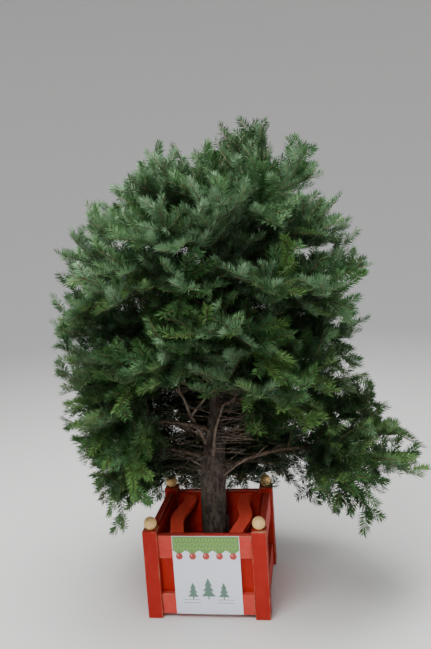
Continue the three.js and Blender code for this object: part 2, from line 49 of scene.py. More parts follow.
# Stand
EDGE = {"round": 0.0022, "band": 0.004, "inset": 0.97, "steps": 5, "end_worn": 0.9}
CORNER_WORN = (0.7, 0.9, 1.0, 0.9, 0.7, 0, 0)
WAVE = {"depth": 0.009, "length": 0.25, "at": -0.02, "middle": 0.101, "width": 0.042, "rings": 40}
BALL = {"foot": 0.008, "top": 0.02, "steps": 36, "sides": 48}
GROOVE = {"depth": 0.004, "width": 0.03}

# Card and tag
CARD = {"bow": 0.0006, "thick": 0.0009, "columns": 24}
BAND = {"height": 0.052, "margin": 0.0015, "scallop": 0.006, "columns": 60}
SPRIGS = {"columns": 20, "rows": 3, "left": 0.002, "right": 0.008, "top": 0.012, "step": 0.013, "shift": 0.25}
SPRIG = {"half": 0.0075, "lean": 0.5, "slim": 0.16}
BAUBLES = {"count": 5, "radius": 0.0105, "below": 0.012, "sides": 28}
SHINE = {"radius": 0.0032, "aside": 0.0035}
CAP = (-0.0022, 0.0098, 0.0022, 0.0135)
SMALL_TREES = {"at": ((0.27, 0.05), (0.5, 0.064), (0.73, 0.05)), "foot": 0.05, "stem": 0.13, "half": 0.002}
TIERS = {"count": 3, "from": 0.12, "step": 0.26, "half": 0.34, "narrower": 0.08, "height": 0.42}
LINES = {"levels": (0.046, 0.036), "inset": 0.025, "thick": 0.0014}
INK_LIFTS = {"band": 2e-4, "trees": 3e-4, "sprigs": 4e-4, "baubles": 5e-4, "caps": 5e-4, "shines": 7e-4}
TAG = {"left": -0.022, "right": 0.031, "bottom": 0.124, "top": 0.181, "gap": 0.002, "lean": 0.004}
PLEATS = {"count": 6, "depth": 0.0012, "thick": 0.0006, "columns": 25, "rows": 6}

# Trunk
TRUNK_TOP = 1.395
LEADER_TIP = 1.478
LEAN = {"from": 0.25, "at_tip": 0.203, "power": 1.6, "offset": 0.006}
TAPER = {"tip": 0.003, "shaft": 0.025, "from": 0.3, "power": 0.9}
FLARE = {"radius": 0.013, "height": 0.5, "softness": 0.035}
TRUNK_GRID = (420, 56)
RELIEF = {"lumps": 0.028, "cracks": 0.0011, "fine": 0.35, "coarse": 0.65, "below": 0.62, "fades": 0.05}
SWELLING = {"share": 0.16, "turn": 0.7, "height": 0.014, "above": 0.004}

# Crown: each whorl's height, first azimuth and step in degrees, how many boughs, the reach and height of its
# tips on the right, back, left and front, the rise at the foot and the share of each bough that shows bare
WHORL_VALUES = ("name", "height", "first", "step", "count", "reach", "tips", "rise", "limb")
WHORL_ROWS = (
    ("lowest", 0.402, -12, 71, 4, (0.69, 0.44, 0.365, 0.42), (0.45, 0.215, 0.43, 0.44), 36, 0.34),
    ("low", 0.505, 20, 68, 4, (0.6, 0.46, 0.45, 0.44), (0.575, 0.48, 0.62, 0.56), 30, 0.34),
    ("middle", 0.628, -54, 90, 4, (0.5, 0.48, 0.46, 0.44), (0.69, 0.73, 0.77, 0.8), 28, 0),
    ("wide", 0.77, 14, 90, 4, (0.515, 0.465, 0.455, 0.45), (0.81, 0.91, 0.91, 0.86), 30, 0),
    ("high", 0.915, -20, 90, 4, (0.55, 0.43, 0.45, 0.42), (0.95, 1.07, 1.04, 1.03), 34, 0),
    ("upper", 1.05, 20, 120, 3, (0.47, 0.38, 0.37, 0.37), (1.13, 1.21, 1.15, 1.18), 38, 0),
    ("top", 1.17, -40, 120, 3, (0.42, 0.26, 0.215, 0.24), (1.23, 1.28, 1.22, 1.24), 42, 0),
)
WHORLS = [dict(zip(WHORL_VALUES, row)) for row in WHORL_ROWS]
SEED = {"first": 1000, "step": 77}
AZIMUTH_JITTER = 10
STAGGER = {"foot": 0.024, "tip": 0.046}
STEM_END = 0.84
BARE_SHARE = {"from_trunk": 0.22, "after_limb": 0.03}
PATH_STEPS = 16
TURN_SHARE = 0.46
FORK = {"start": 0.18, "after_limb": 0.06, "spread": 0.31, "reach": 0.94, "turn": 0.42, "bare": 0.2}
FORK_TIP = {"tilt": 0.03, "counter": 0.046}
BOUGH_RADIUS = 0.0095
STEM_TO_TRUNK = 0.42
STEM_TIP_RADIUS = 0.0016
LIMB = {"taper": 0.8, "fork": 0.62, "relief": 0.12, "steps": 44, "sides": 10, "inner_sides": 6, "seed": 40}
CORE = {"widest": 0.046, "room": 0.42, "in_core": 0.5}
CORE_PROFILE = ((0, 0.22, 0.46, 0.78, 1.06), (0, 0, 1, 0.8, 0))
SPRAY_SPACING = {"stem": 0.125, "fork": 0.17}
STATION = {"start": 0.4, "roll_lead": 500, "jitter": 0.2}
SPRAY_ANGLES = (62, 42)
SPRAY_JITTER = {"splay": 12, "roll": 24, "lengths": (0.88, 1.08)}
LIFT = {"from": 0.5, "to": 1.2, "low": -0.12, "high": 0.6}
SPRAY_LENGTHS = {"share": 0.16, "least": 0.112, "most": 0.175}
STEM_ROLLS = ((18, 166), (-88, 34), (90,))
FORK_ROLLS = {1: ((100,), (32,)), -1: ((100,), (146,))}
TOP_SPRAY = 0.72
SPACE_OVERLAP = 0.03
CLEARANCE = 0.012
SHORTER = (1, 0.82, 0.66, 0.5)
MIDDLE = 0.6

# Finer growth
GOLDEN = 137.5
FILL = {"spacing": 0.027, "splay": 6, "roll": 12, "apart": 50, "lengths": (0.9, 1.3)}
FARTHEST = {"share": 0.985, "higher": 0.09}
LEADER_REACH = {"beside": 0.12, "least": 0.02, "above": 0.02}
OPEN_FRONT = {"from": -0.09, "to": 0.15, "below": 0.67, "slope": 0.256}
TRUNK_FILLS = (
    {"count": 88, "heights": (0.68, 1.37), "rises": (8, 56), "lengths": (0.38, 0.1)},
    {"count": 104, "heights": (0.375, 0.8), "rises": (-26, 24), "lengths": (0.36, 0.26), "turns": (24, 176)},
    {"count": 40, "heights": (1.06, 1.3), "rises": (34, 60), "lengths": (0.24, 0.13)},
)
TRUNK_FILL_JITTER = {"turn": 8, "rise": 7, "lengths": (0.75, 1.1)}
UPTURN = {"from": 0.55, "to": 1.3, "sag": 0.06, "most": 0.14}
FAN = {"spacing": 0.06, "most": 5, "from": 0.42, "uneven": 0.26, "angles": (54, 40), "jitter": 6}
FAN_RISE = {"lift": (14, 18), "lifted": 0.35, "sag": 0.5, "uneven": 0.03}
FAN_LENGTHS = {"share": 0.62, "more": 0.022, "least": 0.055, "most": 0.12, "jitter": (0.8, 1.12)}
BEARING = {"from": 0.35, "stretches": 6}
LEADER = {"inside": 0.03, "short": 0.012, "up": (0.3, -0.9, 0.2)}
LEADER_RING = {"shoots": 6, "from": 0.016, "step": 0.004, "turn": 0.4}
RING_SHOOT = {"length": 0.062, "out": 0.62, "rise": 0.78}
SPRAY_RADII = {"foot": 0.0011, "more": 0.006, "tip": 0.0009}
YOUNG_RADII = (0.0012, 0.0007)
NEEDLE = {"step": 0.0045, "length": 0.0275, "width": 0.0031, "angles": (66, 34), "least": 6}
KITE = {"shorter": 0.25, "widest": 0.45, "fold": 0.25, "curl": 0.06}
KITE_FACES = np.array([[0, 1, 2], [0, 2, 3]])
NEEDLE_PLACES = (-94, 90, -48, 44, 0)
NEEDLE_JITTER = {"step": 0.35, "place": 12, "lean": 5, "lengths": (0.85, 1.1), "face": 0.3}
NEEDLES_THIN = {"within": 0.54, "step": 2.0}
# Painted light and shade on the needles: a score of how far out each shoot's tip is, lowered low in the crown
# and raised at the top, and the levels and chances at which it deals painted shade and painted light
LIGHT = {"jitter": 0.4, "low": 0.3, "high": -0.1}
LIGHT_ON = {"shaded": 0.3, "deep": 0.52, "blue": 0.6, "painted_highlight": 0.8, "fresh": 0.8}
CHANCES = {"blue": (0.15, 0.6), "fresh": (0.4, 0.05), "painted_highlight": (-0.2, 0.6)}
END_ROOM = 0.014
MOST_IN_PIECE = 95_000

# Bare wood in the open foot of the crown, in millimetres: each limb's radii and the points it runs through
BARE_LIMBS = (
    (7, 3, ((0, -10, 490), (-38, -50, 597), (-54, -60, 654), (-77, -70, 693))),
    (3.5, 2, ((-60, -63, 665), (-68, -70, 720), (-38, -80, 781))),
    (4.5, 2.5, ((-38, -50, 597), (34, -75, 681), (81, -90, 718), (132, -100, 746))),
    (7, 3, ((16, -20, 440), (30, -45, 513), (38, -50, 557), (72, -50, 648))),
    (4, 2, ((0, 0, 500), (-64, -10, 553), (-112, -20, 580))),
    (4, 2, ((30, 0, 370), (94, -60, 437), (137, -100, 477))),
    (3, 1.5, ((30, -10, 520), (103, -90, 537), (167, -130, 543))),
    (3, 1.5, ((0, 0, 400), (-59, -40, 458))),
)
BARE_LIMB = {"relief": 0.14, "sides": 9, "seed": 300}
BARE_TWIGS = {"count": 60, "heights": (0.37, 0.72), "rises": (-12, 34), "lengths": (0.09, 0.2)}
BOUGH_TWIGS = {"boughs": 12, "each": 8, "shares": (0.1, 0.42), "splays": (40, 75), "lengths": (0.05, 0.13)}
TWIG_TILTS = (-0.5, 0.5)
TWIG_ROW = {"count": 16, "heights": (0.47, 0.66), "lengths": (0.08, 0.13), "from_axis": (0.008, -0.03, 0)}
TWIG_ROW_JITTER = {"height": 0.7, "before": (-0.9, 0.1), "rise": (-0.12, 0.2)}
TWIG_SAGS = (-0.1, 0.16)
TWIG_FORKS = {"shares": (0.3, 0.8), "aside": 0.9, "upward": 0.4, "lengths": (0.4, 1), "sag": 0.1}
TWIG_RADII = {"feet": (0.0018, 0.001), "tip": 0.45}

# Studio: the floor's flat part and sweep, and each light's name, place, aim, width, power and spread
SWEEP = {"flat": (0, 1, 3), "from": 5, "radius": 3.5, "rim": 5.5, "steps": 24, "sides": 96}
LIGHTS = (
    ("key", (-0.9, -1.8, 3.6), (0.05, 0, 0.75), 1.8, 112, 180),
    ("fill", (2.4, -2.2, 2.2), (0.05, 0, 0.75), 2.4, 10, 180),
    ("top", (0.3, 0, 3.9), (0.05, 0, 0.75), 2.6, 160, 180),
    ("low", (0.1, -2.7, 1.45), (0.02, 0, 0.12), 0.5, 0.25, 12),
)


# Arrays
def unit(v):
    """Each vector divided by its length."""
    return v / np.maximum(np.linalg.norm(v, axis=-1, keepdims=True), 1e-12)


def mix(a, b, t):
    return a + (b - a) * t


def together(*values):
    """Values spread to one common shape, side by side along one last axis."""
    return np.stack(np.broadcast_arrays(*values), axis=-1)


def spun(reach, turn, height):
    """Points at a reach, a turn and a height from the upright axis."""
    return together(reach * np.cos(turn), reach * np.sin(turn), height)


def square_to(up, way):
    """The side and the upper side of a way, square to it and to each other."""
    side = unit(np.cross(up, way))
    return side, np.cross(way, side)


def swung(way, away, angle):
    """A way swung by an angle towards another one that is square to it."""
    return way * np.cos(angle)[..., None] + away * np.sin(angle)[..., None]


def bearing(azimuth, rise):
    return spun(np.cos(rise), azimuth, np.sin(rise))


def numbered(count):
    """For how many each one has: whose every one of them is, and its own number there."""
    whose = np.repeat(np.arange(len(count)), count)
    return whose, np.arange(len(whose)) - np.repeat(np.cumsum(count) - count, count)


def grid_faces(rows, columns, closed=True):
    """Four-cornered faces between neighbours on a grid; closed joins the last column to the first."""
    start = np.arange(rows - 1)[:, None] * columns
    here = np.arange(columns if closed else columns - 1)
    after = (here + 1) % columns
    above = start + columns
    return together(start + here, start + after, above + after, above + here).reshape(-1, 4)


def end_faces(rows, columns):
    """One face over each open end of a closed grid."""
    return np.stack([np.arange(columns)[::-1], (rows - 1) * columns + np.arange(columns)])


def shell(points):
    """A closed grid's points in one row, with the faces of its wall and its two ends."""
    return points.reshape(-1, 3), [grid_faces(*points.shape[:2]), end_faces(*points.shape[:2])]


def sheet(front, thick):
    """A shell from a grid of points, with the same grid at a thickness behind it."""
    return shell(np.concatenate([front, front[:, ::-1] + [0, thick, 0]], axis=1))


def joined(shells):
    """Several shells as one: their points one after another, and their faces numbered on."""
    starts = np.cumsum([0] + [len(points) for points, faces in shells])
    moved = [[faces[kind] + start for (_, faces), start in zip(shells, starts)] for kind in range(2)]
    return np.concatenate([points for points, _ in shells]), [np.concatenate(faces) for faces in moved]


def waves(angle, along, seed, count, round_most, along_most):
    """Unevenness from about -1 to 1: cosine waves that run round by whole turns and along by any length,
    added up and divided by twice the square root of their number."""
    draw = np.random.default_rng(seed)
    total = np.zeros(np.broadcast(angle, along).shape)
    for k in range(count):
        turns = draw.integers(0, round_most + 1)
        length = draw.uniform(-along_most, along_most)
        total += np.cos(turns * angle + length * along + draw.uniform(0, 2 * np.pi))
    return total / math.sqrt(count) / 2


def piece(name, points, faces, material, slot, smooth=True, grain=None, edge=None):
    """A mesh from whole arrays. grain is a UV in metres and edge a value at each point."""
    faces = faces if isinstance(faces, list) else [faces]
    corners = np.concatenate([f.ravel() for f in faces]).astype(np.int32)
    sizes = np.concatenate([np.full(len(f), f.shape[1]) for f in faces])
    mesh = bpy.data.meshes.new(name)
    mesh.vertices.add(len(points))
    mesh.vertices.foreach_set("co", np.ascontiguousarray(points, dtype=np.float32).ravel())
    mesh.loops.add(len(corners))
    mesh.loops.foreach_set("vertex_index", corners)
    mesh.polygons.add(len(sizes))
    mesh.polygons.foreach_set("loop_start", np.concatenate([[0], np.cumsum(sizes)[:-1]]).astype(np.int32))
    mesh.update(calc_edges=True)
    mesh.polygons.foreach_set("use_smooth", np.full(len(sizes), smooth))
    if grain is not None:
        mesh.uv_layers.new(name="grain").uv.foreach_set("vector", grain[corners].astype(np.float32).ravel())
    if edge is not None:
        mesh.attributes.new("edge", "FLOAT", "POINT").data.foreach_set("value", edge.astype(np.float32))
    mesh.materials.append(material)
    made = bpy.data.objects.new(name, mesh)
    bpy.context.scene.collection.objects.link(made)
    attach(made, "root")
    return made


# Shader groups
def node(tree, kind, inputs=None, **settings):
    """A shader node with its settings, and each input either linked from a socket or set to a value."""
    made = tree.nodes.new(kind)
    for key, value in settings.items():
        setattr(made, key, value)
    for label, value in (inputs or {}).items():
        if isinstance(value, bpy.types.NodeSocket):
            tree.links.new(value, made.inputs[label])
        else:
            made.inputs[label].default_value = value
    return made


def times(tree, a, b):
    return node(tree, "ShaderNodeMath", {0: a, 1: b}, operation="MULTIPLY").outputs[0]


def plus(tree, a, b, clamp=False):
    return node(tree, "ShaderNodeMath", {0: a, 1: b}, operation="ADD", use_clamp=clamp).outputs[0]


def blend_colour(tree, share, a, b):
    return node(tree, "ShaderNodeMix", {0: share, 6: a, 7: b}, data_type="RGBA").outputs[2]


def noise(tree, vector, stretch, detail, roughness=0.55):
    """A noise of about one feature to each unit of the stretched coordinate."""
    scaled = node(tree, "ShaderNodeVectorMath", {0: vector, 1: stretch}, operation="MULTIPLY").outputs[0]
    settings = {"Vector": scaled, "Scale": 1.0, "Detail": detail, "Roughness": roughness}
    return node(tree, "ShaderNodeTexNoise", settings).outputs["Fac"]


def step_up(tree, value, low, high):
    """0 below low, 1 above high and smooth between."""
    inputs = {"Value": value, "From Min": low, "From Max": high}
    return node(tree, "ShaderNodeMapRange", inputs, interpolation_type="SMOOTHSTEP").outputs["Result"]


def effect_group(name, inputs, effect):
    """A shader group with a vector and its own colours and numbers for inputs, whose effect works out its
    colour, roughness and height."""
    tree = bpy.data.node_groups.new(name, "ShaderNodeTree")
    tree.interface.new_socket(name="Vector", in_out="INPUT", socket_type="NodeSocketVector")
    for label, value in inputs.items():
        kind = "NodeSocketColor" if isinstance(value, tuple) else "NodeSocketFloat"
        tree.interface.new_socket(name=label, in_out="INPUT", socket_type=kind).default_value = value
    for label, kind in (("Color", "Color"), ("Roughness", "Float"), ("Height", "Float")):
        tree.interface.new_socket(name=label, in_out="OUTPUT", socket_type="NodeSocket" + kind)
    given, out = tree.nodes.new("NodeGroupInput").outputs, tree.nodes.new("NodeGroupOutput").inputs
    for label, socket in zip(("Color", "Roughness", "Height"), effect(tree, given)):
        tree.links.new(socket, out[label])
    return tree


def brushed(tree, given):
    """Brushed paint: streaks along the grain, faded patches, and bare wood where an edge is worn."""
    streaks = noise(tree, given["Vector"], (14.0, 420.0, 1.0), 5.0)
    patches = noise(tree, given["Vector"], (22.0, 30.0, 1.0), 3.0)
    specks = noise(tree, given["Vector"], (380.0, 520.0, 1.0), 2.0)
    fade = times(tree, step_up(tree, patches, 0.35, 0.75), 0.55)
    fade = plus(tree, fade, times(tree, step_up(tree, streaks, 0.45, 0.8), 0.3), True)
    colour = blend_colour(tree, fade, given["Paint"], given["Faded"])
    worn = times(tree, given["Edge"], given["Wear"])
    worn = times(tree, worn, plus(tree, patches, times(tree, specks, 0.6)))
    colour = blend_colour(tree, step_up(tree, worn, 0.5, 0.62), colour, given["Bare"])
    roughness = plus(tree, 0.5, times(tree, patches, 0.3))
    return colour, roughness, plus(tree, times(tree, streaks, 0.8), times(tree, specks, 0.2))


def mottled(tree, given):
    """Young bark: mottles drawn out along the limb, fine cracks, and a green bloom in patches."""
    mottles = noise(tree, given["Vector"], (90.0, 90.0, 38.0), 6.0, 0.65)
    scales = noise(tree, given["Vector"], (320.0, 320.0, 150.0), 4.0, 0.6)
    patches = noise(tree, given["Vector"], (24.0, 24.0, 18.0), 2.0)
    colour = blend_colour(tree, step_up(tree, mottles, 0.36, 0.66), given["Dark"], given["Light"])
    share = times(tree, step_up(tree, patches, 0.5, 0.68), given["Bloom Share"])
    colour = blend_colour(tree, share, colour, given["Bloom"])
    deep = times(tree, step_up(tree, scales, 0.5, 0.34), 0.6)
    colour = blend_colour(tree, deep, colour, given["Dark"])
    roughness = plus(tree, 0.72, times(tree, scales, 0.25))
    return colour, roughness, plus(tree, mottles, times(tree, scales, 0.6))


def inked(tree, given):
    """Ink on coated card: the plain colour a little uneven, and gloss that varies with the card's fibres."""
    fibres = noise(tree, given["Vector"], (900.0, 900.0, 900.0), 3.0)
    cloud = noise(tree, given["Vector"], (16.0, 16.0, 16.0), 3.0)
    share = times(tree, plus(tree, fibres, cloud), 0.4)
    colour = blend_colour(tree, share, given["Ink"], given["Shadow"])
    return colour, plus(tree, 0.3, times(tree, fibres, 0.15)), fibres


def colours(labels, values):
    return {label: (*value, 1) for label, value in zip(labels, values)}


PAINT = ("Paint", "Faded", "Bare")
BARK = ("Light", "Dark", "Bloom")
INK = ("Ink", "Shadow")
paint_at_first = colours(PAINT, ((0.5, 0.04, 0.02), (0.6, 0.1, 0.06), (0.45, 0.25, 0.14)))
bark_at_first = colours(BARK, ((0.2, 0.16, 0.13), (0.04, 0.03, 0.025), (0.1, 0.11, 0.06)))
ink_at_first = colours(INK, ((0.8, 0.8, 0.85), (0.7, 0.7, 0.75)))
brushed_paint = effect_group("brushed_paint", paint_at_first | {"Edge": 0.0, "Wear": 0.5}, brushed)
young_bark = effect_group("young_bark", bark_at_first | {"Bloom Share": 0.3}, mottled)
ink_on_card = effect_group("ink_on_card", ink_at_first, inked)


# Materials
def dressed(name, effect, values, vector, bump, specular=0.5):
    """A material with one effect group's colour, roughness and bump. bump is its strength and depth."""
    made = bpy.data.materials.new(name)
    made.use_nodes = True
    tree = made.node_tree
    shader = tree.nodes["Principled BSDF"]
    shader.inputs["Specular IOR Level"].default_value = specular
    if vector == "grain":
        place = node(tree, "ShaderNodeUVMap", uv_map="grain").outputs["UV"]
    else:
        place = node(tree, "ShaderNodeTexCoord").outputs["Object"]
    use = node(tree, "ShaderNodeGroup", node_tree=effect)
    tree.links.new(place, use.inputs["Vector"])
    for label, value in values.items():
        use.inputs[label].default_value = value
    if "Edge" in use.inputs and vector == "grain":
        edge = node(tree, "ShaderNodeAttribute", attribute_name="edge")
        tree.links.new(edge.outputs["Fac"], use.inputs["Edge"])
    height = {"Height": use.outputs["Height"], "Strength": bump[0], "Distance": bump[1]}
    relief = node(tree, "ShaderNodeBump", height)
    tree.links.new(use.outputs["Color"], shader.inputs["Base Color"])
    tree.links.new(use.outputs["Roughness"], shader.inputs["Roughness"])
    tree.links.new(relief.outputs["Normal"], shader.inputs["Normal"])
    return made


def painted(name, colour, faded, bare, wear, vector="grain", bump=(0.35, 0.0006), specular=0.2):
    values = colours(PAINT, (colour, faded, bare)) | {"Wear": wear}
    return dressed(name, brushed_paint, values, vector, bump, specular)


def barked(name, light, dark, bloom, share, bump):
    values = colours(BARK, (light, dark, bloom)) | {"Bloom Share": share}
    return dressed(name, young_bark, values, "object", bump, 0.3)


def printed(name, *inks):
    return dressed(name, ink_on_card, colours(INK, inks), "object", (0.05, 0.0002))


def needle_material(name, top, under):
    """Waxy needles: one plain colour above and a paler one on the underside."""
    made = bpy.data.materials.new("needles_" + name)
    made.use_nodes = True
    tree = made.node_tree
    shader = tree.nodes["Principled BSDF"]
    back = node(tree, "ShaderNodeNewGeometry").outputs["Backfacing"]
    tree.links.new(blend_colour(tree, back, (*top, 1), (*under, 1)), shader.inputs["Base Color"])
    shader.inputs["Roughness"].default_value = 0.55
    shader.inputs["Specular IOR Level"].default_value = 0.3
    return made


WORN = (0.42, 0.2, 0.11)
DEEP_RED = ((0.44, 0.015, 0.007), (0.52, 0.032, 0.017), (0.3, 0.12, 0.07), 0.4)
# A lighter copy of the red paint for the wavy boards: painted light, for the light the crown keeps off them
LIT_RED = ((0.88, 0.08, 0.045), (0.9, 0.13, 0.08), (0.5, 0.24, 0.13), 0.5)
CREAM = ((0.84, 0.53, 0.2), (0.88, 0.62, 0.3), (0.5, 0.33, 0.16), 0.0)
red_paint = painted("brushed_red_paint", (0.34, 0.011, 0.006), (0.42, 0.026, 0.016), WORN, 0.75)
# A lighter red for the rails than for the posts
lighter_red_paint = painted("brushed_lighter_red_paint", (0.54, 0.046, 0.034), (0.62, 0.09, 0.07), WORN, 0.75)
lit_red_paint = painted("brushed_lit_red_paint", *LIT_RED)
deep_red_paint = painted("brushed_deep_red_paint", *DEEP_RED)
floor_paint = painted("floor_board_paint", *DEEP_RED, "object")
cream_wood = painted("turned_cream_wood", *CREAM, bump=(0.2, 0.0004), specular=0.5)

# Barks: light, dark and bloom, the share of bloom, and the bump's strength and depth
BARKS = {
    "trunk_bark": ((0.115, 0.088, 0.072), (0.032, 0.022, 0.017), (0.12, 0.13, 0.085), 0.35, (0.7, 0.0016)),
    "bough_bark": ((0.15, 0.1, 0.07), (0.035, 0.022, 0.016), (0.08, 0.085, 0.05), 0.25, (0.6, 0.001)),
    "twig_bark": ((0.17, 0.11, 0.06), (0.06, 0.035, 0.02), (0.1, 0.1, 0.05), 0.2, (0.4, 0.0005)),
    "young_shoot_bark": ((0.24, 0.2, 0.09), (0.12, 0.1, 0.045), (0.14, 0.17, 0.07), 0.3, (0.3, 0.0003)),
    "dead_twig_bark": ((0.27, 0.21, 0.165), (0.1, 0.07, 0.052), (0.2, 0.19, 0.14), 0.3, (0.3, 0.0004)),
}
barks = {name: barked(name, *values) for name, values in BARKS.items()}

# Card colours, plain and in shadow
white_card = printed("white_card", (0.82, 0.86, 0.97), (0.7, 0.74, 0.85))
PRINTS = {
    "band": ((0.16, 0.33, 0.07), (0.1, 0.24, 0.05)),
    "sprigs": ((0.34, 0.52, 0.18), (0.25, 0.42, 0.12)),
    "bauble": ((0.5, 0.05, 0.035), (0.36, 0.03, 0.025)),
    "shine": ((0.72, 0.3, 0.24), (0.62, 0.22, 0.18)),
    "trees": ((0.12, 0.22, 0.17), (0.08, 0.16, 0.12)),
}
prints = {name: printed("print_" + name, *inks) for name, inks in PRINTS.items()}

# Needle colours above and underneath, from dark to pale: the two darkest are painted shade for the inside
# and the low part of the crown, the green is plain, the blue-green is partly the fir's own colour and partly
# painted light, the fresh tips are new growth, and the palest is a painted highlight for the outside and top
NEEDLE_COLOURS = {
    "shaded": ((0.013, 0.032, 0.012), (0.026, 0.05, 0.025)),
    "deep": ((0.026, 0.068, 0.018), (0.047, 0.094, 0.042)),
    "green": ((0.046, 0.121, 0.03), (0.073, 0.147, 0.06)),
    "blue_green": ((0.06, 0.15, 0.056), (0.104, 0.196, 0.098)),
    "fresh": ((0.1, 0.205, 0.05), (0.126, 0.235, 0.084)),
    "painted_highlight": ((0.128, 0.258, 0.106), (0.182, 0.31, 0.172)),
}
needle_materials = {name: needle_material(name, *pair) for name, pair in NEEDLE_COLOURS.items()}


# Stand
def board(name, low, high, along, material, slot, bend=None, rings=2):
    """A board with rounded edges: a rounded rectangle carried along one axis and drawn in at both ends by the
    same quarter circle. bend moves it sideways by a function of the way along."""
    low, high = np.array(low), np.array(high)
    square = [(along + 1) % 3, (along + 2) % 3]
    half = (high - low)[square] / 2
    swing = np.linspace(0, math.pi / 2, EDGE["steps"])
    arc = together(np.cos(swing), np.sin(swing))
    corners, pushes = [], []
    for quarter in range(4):
        cos, sin = math.cos(quarter * math.pi / 2), math.sin(quarter * math.pi / 2)
        turn = np.array([[cos, sin], [-sin, cos]])
        centre = (half[::-1] if quarter % 2 else half) - EDGE["round"]
        flats = [centre - [EDGE["band"], 0], [EDGE["band"] - centre[0], centre[1]]]
        corners.append(np.vstack([*[centre] * len(swing), *flats]) @ turn)
        pushes.append(np.vstack([arc, [0, 1], [0, 1]]) @ turn)
    corners, pushes = np.vstack(corners), np.vstack(pushes)
    inset = EDGE["inset"] * EDGE["round"] * (1 - np.sin(swing))
    start = EDGE["round"] * (1 - np.cos(swing))
    length = (high - low)[along]
    band = EDGE["round"] + EDGE["band"]
    position = np.concatenate([start, np.linspace(band, length - band, rings), length - start[::-1]])
    inset = np.concatenate([inset, np.zeros(rings), inset[::-1]])
    points = np.empty((len(position), len(corners), 3))
    points[..., along] = (low[along] + position)[:, None]
    points[..., square] = (low + high)[square] / 2 + corners + pushes * (EDGE["round"] - inset)[:, None, None]
    if bend is not None:
        points[..., 0] += bend(points[..., along])
    walk = np.linalg.norm(np.diff(corners + pushes * EDGE["round"], axis=0), axis=1)
    grain = together(position[:, None], np.append(0, np.cumsum(walk))) + rng.uniform(0, 3, 2)
    end_edge = np.repeat([EDGE["end_worn"], 0, EDGE["end_worn"]], [len(swing), rings, len(swing)])
    edge = np.maximum(np.tile(CORNER_WORN, 4), end_edge[:, None])
    return piece(name, *shell(points), material, slot, True, grain.reshape(-1, 2), edge.ravel())


def stand():
    """Posts, rails and panels in the place of their solids, with rounded edges."""
    coats = {"post": red_paint, "top": lighter_red_paint, "bottom": lighter_red_paint, "panel": deep_red_paint}
    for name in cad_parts:
        kind = name.split("_")[0]
        if kind not in coats:
            continue
        level = 0 if name.endswith(("front", "back")) else 1
        way = 2 if kind == "post" else level
        slot = "red_panel_paint" if kind == "panel" else "red_paint"
        made = board(name + "_timber", *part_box(name), way, coats[kind], slot)
        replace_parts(made, name)


def wavy_board(name, side):
    """A board whose two edges follow one cosine wave from front to back."""
    low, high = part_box(name)
    half = WAVE["width"] / 2
    low, high = (-half, low[1], low[2]), (half, high[1], high[2])

    def bend(y):
        return side * (WAVE["middle"] + WAVE["depth"] * np.cos(2 * np.pi * (y - WAVE["at"]) / WAVE["length"]))

    # Painted light: a lighter copy of the red paint
    made = board(name + "_timber", low, high, 1, lit_red_paint, "red_paint", bend, WAVE["rings"])
    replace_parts(made, name)


def ball(name):
    """A turned ball: half a circle's profile spun round its upright axis, with a flat foot, a tiny flat top,
    a faint groove round its middle whose depth falls off as a bell curve, and its grain upright."""
    low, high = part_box(name)
    centre = (np.array(low) + np.array(high)) / 2
    radius = (high[1] - low[1]) / 2
    angle = np.linspace(math.asin(BALL["foot"] / radius), math.pi - BALL["top"], BALL["steps"])[:, None]
    turn = np.linspace(0, 2 * np.pi, BALL["sides"], endpoint=False)
    reach = radius * (1 - GROOVE["depth"] * np.exp(-(((angle - math.pi / 2) / GROOVE["width"]) ** 2)))
    points = spun(reach * np.sin(angle), turn, high[2] - radius - reach * np.cos(angle))
    points += [centre[0], centre[1], 0]
    grain = together(radius * angle, 3 * radius * np.cos(turn)).reshape(-1, 2) + rng.uniform(0, 2, 2)
    made = piece(name + "_turned", *shell(points), cream_wood, "bare_wood", True, grain)
    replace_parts(made, name)


# Card, with a plain generic print: a green band with light sprigs, even red baubles and three trees
def on_card(flat, lift=0):
    """Points given from the card's lower left corner, on its front, which bows out as a parabola."""
    low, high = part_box("front_card")
    across = flat[..., 0] / (high[0] - low[0]) - 0.5
    before = low[1] + 4 * CARD["bow"] * across**2 - lift
    return together(low[0] + flat[..., 0], before, low[2] + flat[..., 1])


def card():
    """The card as a thin sheet from edge to edge of its bowed front, and its print."""
    low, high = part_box("front_card")
    width, height = high[0] - low[0], high[2] - low[2]
    front = on_card(together(np.linspace(0, width, CARD["columns"])[:, None], [0, height]))
    made = piece("card_sheet", *sheet(front, CARD["thick"]), white_card, "card_stock", False)
    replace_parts(made, "front_card")
    card_print(width, height)


def outline_piece(name, outlines, ink):
    """Flat shapes of one ink, each the outline of one face."""
    starts = np.cumsum([0] + [len(outline) for outline in outlines])
    faces = [start + np.arange(len(outline))[None] for start, outline in zip(starts, outlines)]
    points = on_card(np.concatenate(outlines), INK_LIFTS[name])
    piece("card_" + name, points, faces, prints[ink], "card_stock", False)


def rectangle(left, low, right, high):
    return np.array([[left, low], [right, low], [right, high], [left, high]])


